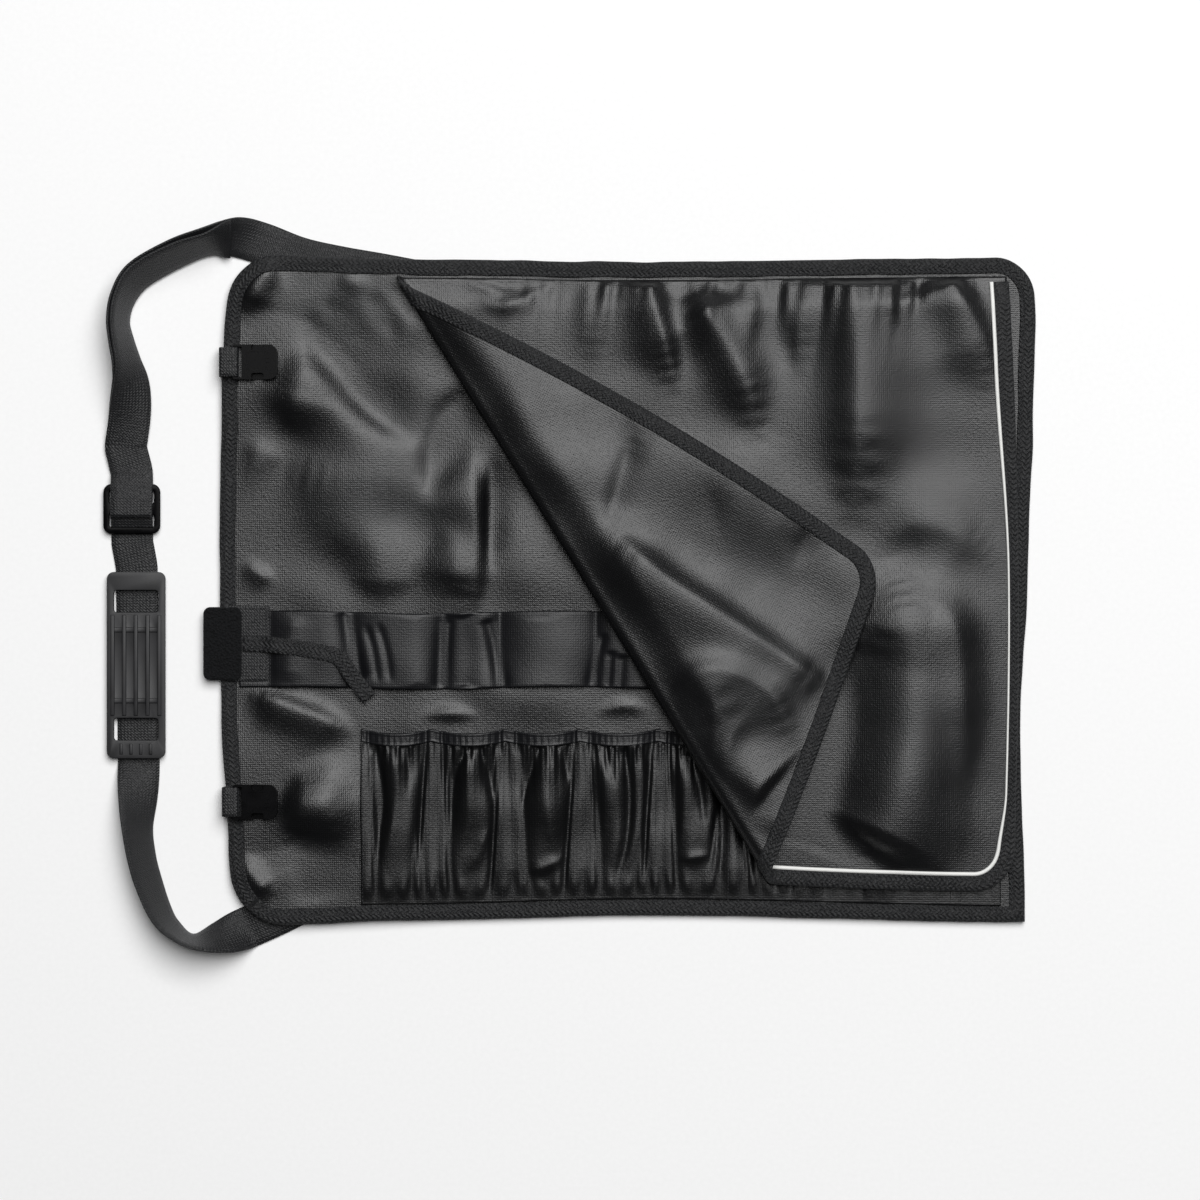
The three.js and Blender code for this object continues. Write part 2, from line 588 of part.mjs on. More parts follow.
// Height of the underside of the flap's lower layer
function flapFloor(x, y) {
  const fromRoot = topEdge(x) - BINDING_WIDTH - y;
  const right = mix(FLAP_PLAN.bottomRightX, FLAP_PLAN.rootRight, y / PANEL_DEPTH) * PANEL_WIDTH;
  const nearBottom = 1 - smooth(28, 80, y - FLAP_PLAN.bottomRightY * PANEL_DEPTH);
  return ROOT_LEVEL + liftAt(x, y)
    + (FLAP_EDGE_LEVEL - ROOT_LEVEL) * smooth(0, 25, fromRoot)
    + (FLAP_PLATEAU - FLAP_EDGE_LEVEL) * smooth(20, 150, fromRoot) * smooth(28, 75, right - x)
      * (1 - 0.4 * nearBottom)
    + foldsAt(FLAP_FOLDS, x, y);
}

const foldStart = new THREE.Vector2(FOLD_LINE.fromX * PANEL_WIDTH, FOLD_LINE.fromY * PANEL_DEPTH);
const foldEnd = new THREE.Vector2(FOLD_LINE.toX * PANEL_WIDTH, FOLD_LINE.toY * PANEL_DEPTH);
const foldWay = foldEnd.clone().sub(foldStart).normalize();
const foldAcross = new THREE.Vector2(-foldWay.y, foldWay.x);

function foldPlace(x, y) {
  const offset = new THREE.Vector2(x, y).sub(foldStart);
  const along = offset.dot(foldWay);
  const share = THREE.MathUtils.clamp(along / foldStart.distanceTo(foldEnd), 0, 1);
  const radius = mix(FOLD_LINE.radiusTop, FOLD_LINE.radiusBottom, share);
  return { along, off: offset.dot(foldAcross), radius };
}

// Takes a point of the flat flap, `height` above its underside, to its place on the folded flap
function foldedPoint(x, y, height) {
  const { along, off, radius } = foldPlace(x, y);
  const quarter = (Math.PI * radius) / 2;
  const beyond = Math.max(0, Math.abs(off) - quarter);
  const angle = THREE.MathUtils.clamp(off / radius, -Math.PI / 2, Math.PI / 2);
  const outward = height - FLAP_THICKNESS / 2;
  const base = foldStart.clone().addScaledVector(foldWay, along);
  const reach = (bend) => radius - bend * Math.cos(angle) + beyond;
  const middle = base.clone().addScaledVector(foldAcross, reach(radius));
  const flat = base.clone().addScaledVector(foldAcross, reach(radius - outward));
  const level = flapFloor(middle.x, middle.y) + FLAP_THICKNESS / 2;
  if (off > -quarter) {
    return [flat.x, flat.y, level + radius - (radius - outward) * Math.sin(angle)];
  }
  const settled = mix(2 * radius, LAYER_SEPARATION, Math.min(1, beyond / LAYER_SETTLING));
  return [flat.x, flat.y, level + settled - outward];
}

const flapDepth = (1 - FLAP_PLAN.bottomLeftY) * PANEL_DEPTH;
const flapWidth = (FLAP_PLAN.bottomRightX - FLAP_PLAN.bottomLeftX) * PANEL_WIDTH;

// The flat flap's net, split along lines that follow the fold so that the bend comes out round
function flapNet() {
  const columns = sideSteps(flapWidth, FLAP_CORNERS.bottomLeft, FLAP_CORNERS.bottomRight, 30);
  const rows = sideSteps(flapDepth, FLAP_CORNERS.bottomLeft, 0, 28);
  let flat = net(columns, rows, flapPoint);
  for (const quarterTurns of [-1, -0.5, 0, 0.5, 1]) {
    flat = cutNet(flat, ([x, y]) => {
      const { off, radius } = foldPlace(x, y);
      return off - (quarterTurns * Math.PI * radius) / 2;
    });
  }
  return flat;
}

// The net's border points in order, anticlockwise
function borderOf({ points, triangles }) {
  const next = new Map();
  const edges = new Set(triangles.flatMap(([a, b, c]) => [`${a}_${b}`, `${b}_${c}`, `${c}_${a}`]));
  for (const edge of edges) {
    const [from, to] = edge.split('_').map(Number);
    if (!edges.has(`${to}_${from}`)) {
      next.set(from, to);
    }
  }
  const border = [next.keys().next().value];
  while (next.get(border.at(-1)) !== border[0]) {
    border.push(next.get(border.at(-1)));
  }
  return border.map((index) => points[index]);
}

function addFlap() {
  const flat = flapNet();
  addMesh('cover_flap', cloth(flat, ([x, y], side) => foldedPoint(x, y, side * FLAP_THICKNESS)), 'canvas');
}

// The tape and the piping round the flap's free edge, which both begin a little way below its root
function addFlapEdge() {
  const border = borderOf(flapNet());
  const isFree = ([x, y]) => topEdge(x) - BINDING_WIDTH - y > FLAP_EDGE_START;
  const first = border.findIndex((point, index) => isFree(point)
    && !isFree(border[(index + border.length - 1) % border.length]));
  const outline = [...border.slice(first), ...border.slice(0, first)].filter(isFree);
  // Near the fold the sections run along it, so that they bend together with the cloth
  const ways = inwardWays(outline, false).map((way, index) => {
    const { off, radius } = foldPlace(...outline[index]);
    const isNear = Math.abs(off) < (Math.PI * radius) / 2 + BINDING_WIDTH;
    return isNear ? foldWay.clone().divideScalar(foldWay.dot(way)).multiplyScalar(way.lengthSq()) : way;
  });
  const along = (section) => outline.map(([x, y], index) => section.map(([inward, height]) => (
    foldedPoint(x + ways[index].x * inward, y + ways[index].y * inward, height))));
  const tape = tapeSection(FLAP_THICKNESS, 2 * BINDING_CLEARANCE, true)
    .map(([inward, height]) => [inward - EDGE_LEVEL, height]);
  const middle = [BINDING_WIDTH - EDGE_LEVEL + CLEARANCE + PIPING_RADIUS,
    FLAP_THICKNESS + 2 * BINDING_CLEARANCE + PIPING_RADIUS];
  const cord = Array.from({ length: 6 }, (_, index) => {
    const angle = (index * Math.PI) / 3;
    return [middle[0] + PIPING_RADIUS * Math.cos(angle), middle[1] + PIPING_RADIUS * Math.sin(angle)];
  });
  addMesh('flap_binding', loft(along(tape), tape, false), 'twill');
  addMesh('flap_piping', loft(along(cord), cord, false), 'piping');
}

// The hook-and-loop closure and its tie tape

const bandEndTop = EDGE_LEVEL + PANEL_THICKNESS + CLEARANCE + ELASTIC_THICKNESS;
const baseBottom = bandEndTop + CLEARANCE;
const padBottom = baseBottom + BASE_THICKNESS + CLEARANCE;

function addClosure() {
  const middle = PAD_MIDDLE * PANEL_DEPTH;
  const padEnd = PAD_LENGTH - PAD_OVERHANG;
  const baseEnd = BAND_SLOTS[0].at * PANEL_WIDTH;
  const half = PAD_WIDTH / 2;
  const base = plate([BASE_START, baseEnd], [middle - half - 1, middle + half + 1],
    [baseBottom, baseBottom + BASE_THICKNESS], BASE_CORNER);
  const pad = plate([-PAD_OVERHANG, padEnd], [middle - half, middle + half],
    [padBottom, padBottom + PAD_THICKNESS], PAD_CORNER);
  addMesh('closure_base', toGeometry(base), 'webbing');
  addMesh('closure_pad', toGeometry(pad), 'webbing');

  const start = padEnd + 1;
  const fold = TAPE_PLAN.foldX * PANEL_WIDTH;
  const low = padBottom + TAPE_THICKNESS / 2;
  const high = EDGE_LEVEL + PANEL_THICKNESS + SLOT_RISE * BAND_SLOTS[0].rise + ELASTIC_THICKNESS + TAPE_RISE;
  const first = ribbon([
    { x: start, y: middle + 1, z: low }, { x: baseEnd - 3, y: middle - 0.5, z: low + 0.2 },
    { x: baseEnd + 12, y: middle - 3, z: high }, { x: fold, y: middle - 9, z: high },
  ], TAPE_WIDTH, TAPE_THICKNESS);
  const tail = ribbon([
    { x: fold - 6, y: middle - 6.5, z: high + TAPE_THICKNESS - 0.1 },
    { x: fold + 2, y: middle - 16, z: high + TAPE_THICKNESS - 0.1 },
    { x: TAPE_PLAN.endX * PANEL_WIDTH, y: TAPE_PLAN.endY * PANEL_DEPTH, z: high + TAPE_THICKNESS },
  ], TAPE_WIDTH, TAPE_THICKNESS);
  addMesh('tie_tape', toGeometry(toManifold(first).add(toManifold(tail))), 'twill');
}

// The side-release buckle halves and the webbing that ties each to the roll's left edge

function addBuckle({ name, y }) {
  const middle = y * PANEL_DEPTH;
  const level = BINDING_HEIGHT + LIFT_HEIGHT;
  const [left, half] = [BUCKLE_OVERHANG, BUCKLE_WIDTH / 2];
  const bottom = level + CLEARANCE;
  const top = bottom + BUCKLE_HEIGHT;
  const right = left + BUCKLE_LENGTH;
  const slot = [left + 2.6, left + 6.6];
  const body = plate([left, right], [middle - half, middle + half], [bottom, top], 3);
  const cavity = block([left + 9, right + 1], [middle - half + 3, middle + half - 3],
    [bottom + BUCKLE_WALL, top - BUCKLE_WALL]);
  const barGap = block(slot, [middle - LOOP_WIDTH / 2 - CLEARANCE, middle + LOOP_WIDTH / 2 + CLEARANCE],
    [bottom - 1, top + 1]);
  const underBar = block([left - 1, slot[1]], [middle - LOOP_WIDTH / 2 - CLEARANCE,
    middle + LOOP_WIDTH / 2 + CLEARANCE], [bottom - 1, level + LOOP_THICKNESS + 2 * CLEARANCE]);
  const overBar = block([left - 1, slot[1]], [middle - LOOP_WIDTH / 2 - CLEARANCE,
    middle + LOOP_WIDTH / 2 + CLEARANCE], [top - LOOP_THICKNESS - 2 * CLEARANCE, top + 1]);
  const windows = [-1, 1].map((way) => block([left + 14, left + 22],
    way > 0 ? [middle + half - 4, middle + half + 1] : [middle - half - 1, middle - half + 4],
    [bottom + BUCKLE_WALL, top - BUCKLE_WALL + 0.4]));
  let solid = body.subtract(cavity).subtract(barGap).subtract(underBar).subtract(overBar);
  for (const window of windows) {
    solid = solid.subtract(window);
  }
  addMesh(`buckle_${name}`, toGeometry(solid), 'acetal');

  const thick = LOOP_THICKNESS;
  const edge = Math.min(leftEdge(middle - LOOP_WIDTH), leftEdge(middle + LOOP_WIDTH)) - CLEARANCE - thick / 2;
  const under = level + CLEARANCE + thick / 2;
  const over = top - CLEARANCE - thick / 2;
  const drop = slot[0] + CLEARANCE + thick / 2;
  const path = [
    { x: leftEdge(middle) + 34, z: thick / 2 + 0.1 }, { x: edge, z: thick / 2 + 0.1 },
    { x: edge, z: over - 3 }, { x: edge + 3, z: over },
    { x: drop, z: over }, { x: drop, z: under }, { x: edge + thick + CLEARANCE + 1, z: under },
  ].map((point) => ({ ...point, y: middle }));
  addMesh(`webbing_loop_${name}`, ribbon(path, LOOP_WIDTH, thick, new THREE.Vector3(0, 1, 0)), 'webbing');
}

// The shoulder strap, its slider and its rubber pad

const onFloor = (tilt) => {
  const angle = THREE.MathUtils.degToRad(tilt);
  return (STRAP_WIDTH / 2) * Math.sin(angle) + (STRAP_THICKNESS / 2) * Math.cos(angle);
};

// The rows with others drawn smoothly between them
function refined(rows, between) {
  const knots = rows.map(({ x, y }) => new THREE.Vector3(x, y, 0));
  const curve = new THREE.CatmullRomCurve3(knots, false, 'catmullrom');
  const count = (rows.length - 1) * between;
  return Array.from({ length: count + 1 }, (_, index) => {
    const from = rows[Math.floor(index / between)];
    const to = rows[Math.min(Math.ceil(index / between), rows.length - 1)];
    const share = (index % between) / between;
    const { x, y } = curve.getPoint(index / count);
    return { x, y, tilt: mix(from.tilt, to.tilt, share), apart: mix(from.apart, to.apart, share) };
  });
}

function runPath(table, apart) {
  const rows = refined(table, 2);
  const points = rows.map(({ x, y }) => new THREE.Vector2(x * PANEL_WIDTH, y * PANEL_DEPTH));
  return rows.map((row, index) => {
    const tangent = points[Math.min(index + 1, points.length - 1)].clone()
      .sub(points[Math.max(index - 1, 0)]).normalize();
    const tilt = THREE.MathUtils.degToRad(row.tilt);
    const off = apart ? row.apart : 0;
    return {
      x: points[index].x + tangent.y * off * Math.sin(tilt),
      y: points[index].y - tangent.x * off * Math.sin(tilt),
      z: onFloor(row.tilt) + off * Math.cos(tilt),
      tilt: -row.tilt,
    };
  });
}

const sliderMiddle = { x: SLIDER_PLACE.x * PANEL_WIDTH, y: SLIDER_PLACE.y * PANEL_DEPTH };
const rubberMiddle = { x: RUBBER_PLACE.x * PANEL_WIDTH, y: RUBBER_PLACE.y * PANEL_DEPTH };
const fittingBottom = STRAP_THICKNESS + 2 * CLEARANCE;
const sliderTop = fittingBottom + SLIDER_THICKNESS;

function addStrap() {
  const low = STRAP_THICKNESS / 2;
  const over = sliderTop + CLEARANCE + low;
  const half = SLIDER_LENGTH / 2;
  const inner = half - SLIDER_BAR;
  const bar = SLIDER_MIDDLE_BAR / 2;
  const through = [[-half - 6, low], [-inner + 1, low], [-bar - 0.5, over], [bar + 0.5, over],
    [inner - 1, low], [half + 6, low]];
  const rubberEnd = RUBBER_LENGTH / 2 + 4;
  const long = [
    ...runPath(UPPER_RUN, false).reverse(),
    ...through.map(([y, z]) => ({ x: sliderMiddle.x, y: sliderMiddle.y + y, z })).reverse(),
    { x: rubberMiddle.x, y: rubberMiddle.y + rubberEnd, z: low },
    { x: rubberMiddle.x + 1.5, y: rubberMiddle.y - rubberEnd, z: low },
    ...runPath(LOWER_RUN, false),
  ];
  addMesh('strap_webbing', ribbon(long, STRAP_WIDTH, STRAP_THICKNESS), 'webbing');

  const doubled = over + STRAP_THICKNESS + CLEARANCE + 0.1;
  const start = [[-bar - 2, doubled], [bar + 1.5, doubled], [inner - 0.5, over], [half + 1, over],
    [half + 9, STRAP_THICKNESS + low + CLEARANCE + 0.1]];
  const second = [
    ...start.map(([y, z]) => ({ x: sliderMiddle.x, y: sliderMiddle.y + y, z })),
    ...runPath(UPPER_RUN, true).slice(0, 20),
  ];
  addMesh('strap_return', ribbon(second.reverse(), STRAP_WIDTH, STRAP_THICKNESS), 'webbing');
}

function addSlider() {
  const { x, y } = sliderMiddle;
  const [halfWidth, halfLength] = [SLIDER_WIDTH / 2, SLIDER_LENGTH / 2];
  let frame = plate([x - halfWidth, x + halfWidth], [y - halfLength, y + halfLength],
    [fittingBottom, sliderTop], 6);
  const slotHalf = STRAP_WIDTH / 2 + 1;
  for (const way of [-1, 1]) {
    const ends = [way * (SLIDER_MIDDLE_BAR / 2), way * (halfLength - SLIDER_BAR)].sort((a, b) => a - b);
    frame = frame.subtract(block([x - slotHalf, x + slotHalf], ends.map((end) => y + end),
      [fittingBottom - 1, sliderTop + 1]));
  }
  addMesh('strap_slider', toGeometry(frame), 'acetal');
}

function addRubberPad() {
  const { x, y } = rubberMiddle;
  const [halfWidth, halfLength] = [RUBBER_WIDTH / 2, RUBBER_LENGTH / 2];
  const top = fittingBottom + RUBBER_THICKNESS;
  let pad = plate([x - halfWidth, x + halfWidth], [y - halfLength, y + halfLength], [fittingBottom, top], 5);
  for (const way of [-1, 1]) {
    const ends = [way * (halfLength - 13), way * (halfLength - 29)].sort((a, b) => a - b);
    pad = pad.subtract(block([x - STRAP_WIDTH / 2 - 1, x + STRAP_WIDTH / 2 + 1], ends.map((end) => y + end),
      [fittingBottom - 1, top + 1]));
  }
  const ribEnd = halfLength - 31;
  for (const share of [-0.42, -0.14, 0.14, 0.42]) {
    const rib = x + share * RUBBER_WIDTH;
    pad = pad.add(block([rib - 1.5, rib + 1.5], [y - ribEnd, y + ribEnd], [top - 0.5, top + 1.4]));
  }
  addMesh('shoulder_pad', toGeometry(pad), 'rubber');
}

addPanel();
addEdgeBinding();
addBand();
addPockets();
addFlap();
addFlapEdge();
addClosure();
BUCKLE_PLACES.forEach(addBuckle);
addStrap();
addSlider();
addRubberPad();

// The roll stands centred on the origin with its lowest point at zero
const bounds = new THREE.Box3().setFromObject(roll);
const middle = bounds.getCenter(new THREE.Vector3());
roll.position.set(-middle.x, -middle.y, -bounds.min.z);

export default roll;
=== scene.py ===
"""A chef's knife roll lying open on a pale table, its cover flap partly folded back over itself.

The cloth pieces are fine nets of points whose folds are laid out by tables in millimetres on the roll.
The hard fittings are shaped with Blender's own modelling operators. Every length in the tables is in
millimetres from the lower left corner of the roll's panel, and is turned to metres as a mesh is made.
"""
from __future__ import annotations

import sys
import logging
import math
from collections.abc import Callable
from dataclasses import dataclass
from enum import Enum

import bmesh
import bpy
import numpy as np
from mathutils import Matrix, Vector


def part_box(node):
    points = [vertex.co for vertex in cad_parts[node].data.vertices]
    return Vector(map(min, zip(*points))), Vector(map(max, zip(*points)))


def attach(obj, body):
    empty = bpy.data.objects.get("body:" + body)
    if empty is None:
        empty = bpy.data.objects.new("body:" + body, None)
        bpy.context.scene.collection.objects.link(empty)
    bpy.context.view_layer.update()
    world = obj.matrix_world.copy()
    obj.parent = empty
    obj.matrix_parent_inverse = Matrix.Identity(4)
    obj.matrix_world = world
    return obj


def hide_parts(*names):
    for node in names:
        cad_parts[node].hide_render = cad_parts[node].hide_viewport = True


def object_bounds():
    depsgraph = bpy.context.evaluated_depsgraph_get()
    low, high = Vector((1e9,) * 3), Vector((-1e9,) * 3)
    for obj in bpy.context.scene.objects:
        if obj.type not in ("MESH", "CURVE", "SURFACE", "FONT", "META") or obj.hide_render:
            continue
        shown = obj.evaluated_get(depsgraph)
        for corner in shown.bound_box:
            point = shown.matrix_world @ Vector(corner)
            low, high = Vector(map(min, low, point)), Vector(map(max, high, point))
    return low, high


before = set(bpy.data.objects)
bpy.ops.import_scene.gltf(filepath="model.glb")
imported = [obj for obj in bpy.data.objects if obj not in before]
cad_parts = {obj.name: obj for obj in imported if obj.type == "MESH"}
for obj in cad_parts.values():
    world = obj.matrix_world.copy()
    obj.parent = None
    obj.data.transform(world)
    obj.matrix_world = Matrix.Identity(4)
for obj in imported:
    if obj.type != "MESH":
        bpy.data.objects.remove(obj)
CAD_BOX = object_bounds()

log = logging.getLogger("knife_roll")

Point = tuple[float, float]
Grid = np.ndarray


# ---------------------------------------------------------------- shapes in plan and in height


def smooth(low: float, high: float, value: Grid) -> Grid:
    """Ease a value from 0 at `low` to 1 at `high`.

    Args:
        low: Value below which the result is 0.
        high: Value above which the result is 1.
        value: Values to ease.

    Returns:
        The eased values.
    """
    share = np.clip((value - low) / (high - low), 0.0, 1.0)
    return share * share * (3.0 - 2.0 * share)


def blend(start: Grid, end: Grid, share: Grid) -> Grid:
    """Mix two values, 0 giving the first and 1 the second."""
    return start + (end - start) * share


def soft_max(first: Grid, second: Grid, reach: float) -> Grid:
    """Take the larger of two heights, rounded where they meet.

    Args:
        first: One set of heights.
        second: The other set.
        reach: How far apart they are before the rounding ends.

    Returns:
        The joined heights, nowhere below either.
    """
    apart = np.clip(1.0 - np.abs(first - second) / reach, 0.0, 1.0)
    return np.maximum(first, second) + apart * apart * reach / 4.0


@dataclass(frozen=True)
class Fold:
    """One fold in cloth: a ridge along a line, or a valley where its height is below zero."""

    line: tuple[Point, ...]
    height: float
    left: float
    right: float
    rise: float = 0.25
    fall: float = 0.25
    round: float = 1.75

    def raise_at(self, x: Grid, y: Grid) -> Grid:
        """Give the fold's height at points of the cloth.

        Args:
            x: Places along the roll.
            y: Places up the roll.

        Returns:
            The height that the fold adds at each point.
        """
        raised = np.zeros(np.shape(x))
        line = rounded_path(np.array(self.line, dtype=float), 4)
        reach = 3.2 * max(self.left, self.right)
        (west, south), (east, north) = line.min(axis=0) - reach, line.max(axis=0) + reach
        near = (x > west) & (x < east) & (y > south) & (y < north)
        if np.any(near):
            raised[near] = self.profile(line, x[near], y[near])
        return raised

    def profile(self, line: Grid, x: Grid, y: Grid) -> Grid:
        """Give the fold's height at points that lie near it.

        Args:
            line: The fold's line, rounded.
            x: Places along the roll.
            y: Places up the roll.

        Returns:
            The height at each point.
        """
        steps = np.linalg.norm(np.diff(line, axis=0), axis=-1)
        walked = np.concatenate([[0.0], np.cumsum(steps)])
        ways = np.diff(line, axis=0) / steps[:, None]
        from_x, from_y = x - line[:-1, :1], y - line[:-1, 1:]
        share = np.clip(from_x * ways[:, :1] + from_y * ways[:, 1:], 0.0, steps[:, None])
        dx, dy = from_x - ways[:, :1] * share, from_y - ways[:, 1:] * share
        off = np.hypot(dx, dy)
        best = off.min(axis=0)
        # near parts of the line share a point between them, so that the fold has no creases of its own
        weight = np.exp(-(off - best) / (1.0 + 0.1 * best))
        weight = weight / weight.sum(axis=0)
        side = (weight * (ways[:, :1] * dy - ways[:, 1:] * dx)).sum(axis=0)
        along = (weight * (walked[:-1, None] + share)).sum(axis=0) / walked[-1]
        ends = smooth(0, self.rise, along) * smooth(0, self.fall, 1.0 - along)
        width = blend(self.right, self.left, smooth(-1.5, 1.5, side)) * (0.55 + 0.45 * ends)
        return self.height * ends * np.exp(-((best / width) ** self.round))


def folds_at(folds: tuple[Fold, ...], x: Grid, y: Grid) -> Grid:
    """Add up the heights of several folds."""
    return sum((fold.raise_at(x, y) for fold in folds), np.zeros(np.shape(x)))


@dataclass(frozen=True)
class Ripples:
    """Small uneven waves in cloth, the same on every run."""

    seed: int
    length: float
    height: float
    waves: int = 14
    stretch: float = 1.0

    def raise_at(self, x: Grid, y: Grid) -> Grid:
        """Give the ripples' height at points of the cloth.

        Args:
            x: Places along the roll.
            y: Places up the roll.

        Returns:
            The height at each point.
        """
        chance = np.random.default_rng(self.seed)
        total = np.zeros(np.shape(x))
        for _ in range(self.waves):
            way = chance.uniform(0, 2 * math.pi)
            size = self.length * chance.uniform(0.6, 1.7)
            start = chance.uniform(0, 2 * math.pi)
            run = x * math.cos(way) + y * math.sin(way) * self.stretch
            total = total + np.sin(run * 2 * math.pi / size + start)
        return self.height * total / math.sqrt(self.waves / 2)


@dataclass(frozen=True)
class Rounding:
    """Radii of the corners of a cloth."""

    bottom_left: float
    bottom_right: float
    top_right: float
    top_left: float

    def squeeze(self, x: Grid, y: Grid, width: float, depth: float, inset: float) -> tuple[Grid, Grid]:
        """Squeeze the square at each corner of a rectangle into a quarter disc.

        Args:
            x: Places along the rectangle.
            y: Places up the rectangle.
            width: The rectangle's width.
            depth: The rectangle's depth.
            inset: How far the rectangle lies inside the rounded outline.

        Returns:
            The new places along and up.
        """
        corners = (
            (False, False, self.bottom_left),
            (True, False, self.bottom_right),
            (False, True, self.top_left),
            (True, True, self.top_right),
        )
        new_x, new_y = x, y
        for right, top, radius in corners:
            reach = radius - inset
            if reach <= 0:
                continue
            from_x = width - x if right else x
            from_y = depth - y if top else y
            inside = (from_x < reach) & (from_y < reach)
            a = np.clip(1 - from_x / reach, 0, 1)
            b = np.clip(1 - from_y / reach, 0, 1)
            round_x = reach - reach * a * np.sqrt(1 - b * b / 2)
            round_y = reach - reach * b * np.sqrt(1 - a * a / 2)
            new_x = np.where(inside, width - round_x if right else round_x, new_x)
            new_y = np.where(inside, depth - round_y if top else round_y, new_y)
        return new_x, new_y


def bow(rows: tuple[Point, ...], share: Grid) -> Grid:
    """Read how far an edge bows in from a straight one.

    Args:
        rows: Pairs of a share along the edge and a share inwards.
        share: Where along the edge.

    Returns:
        The share inwards at each place.
    """
    stops = np.array([row[0] for row in rows])
    values = np.array([row[1] for row in rows])
    at = np.clip(share, 0.0, 1.0)
    after = np.clip(np.searchsorted(stops, at), 1, len(rows) - 1)
    before = after - 1
    part = np.clip((at - stops[before]) / (stops[after] - stops[before]), 0, 1)
    part = part * part * (3 - 2 * part)
    return blend(values[before], values[after], part)


@dataclass(frozen=True)
class Lift:
    """A line on the panel under which webbing passes and lifts the cloth."""

    start: Point
    end: Point
    half: float


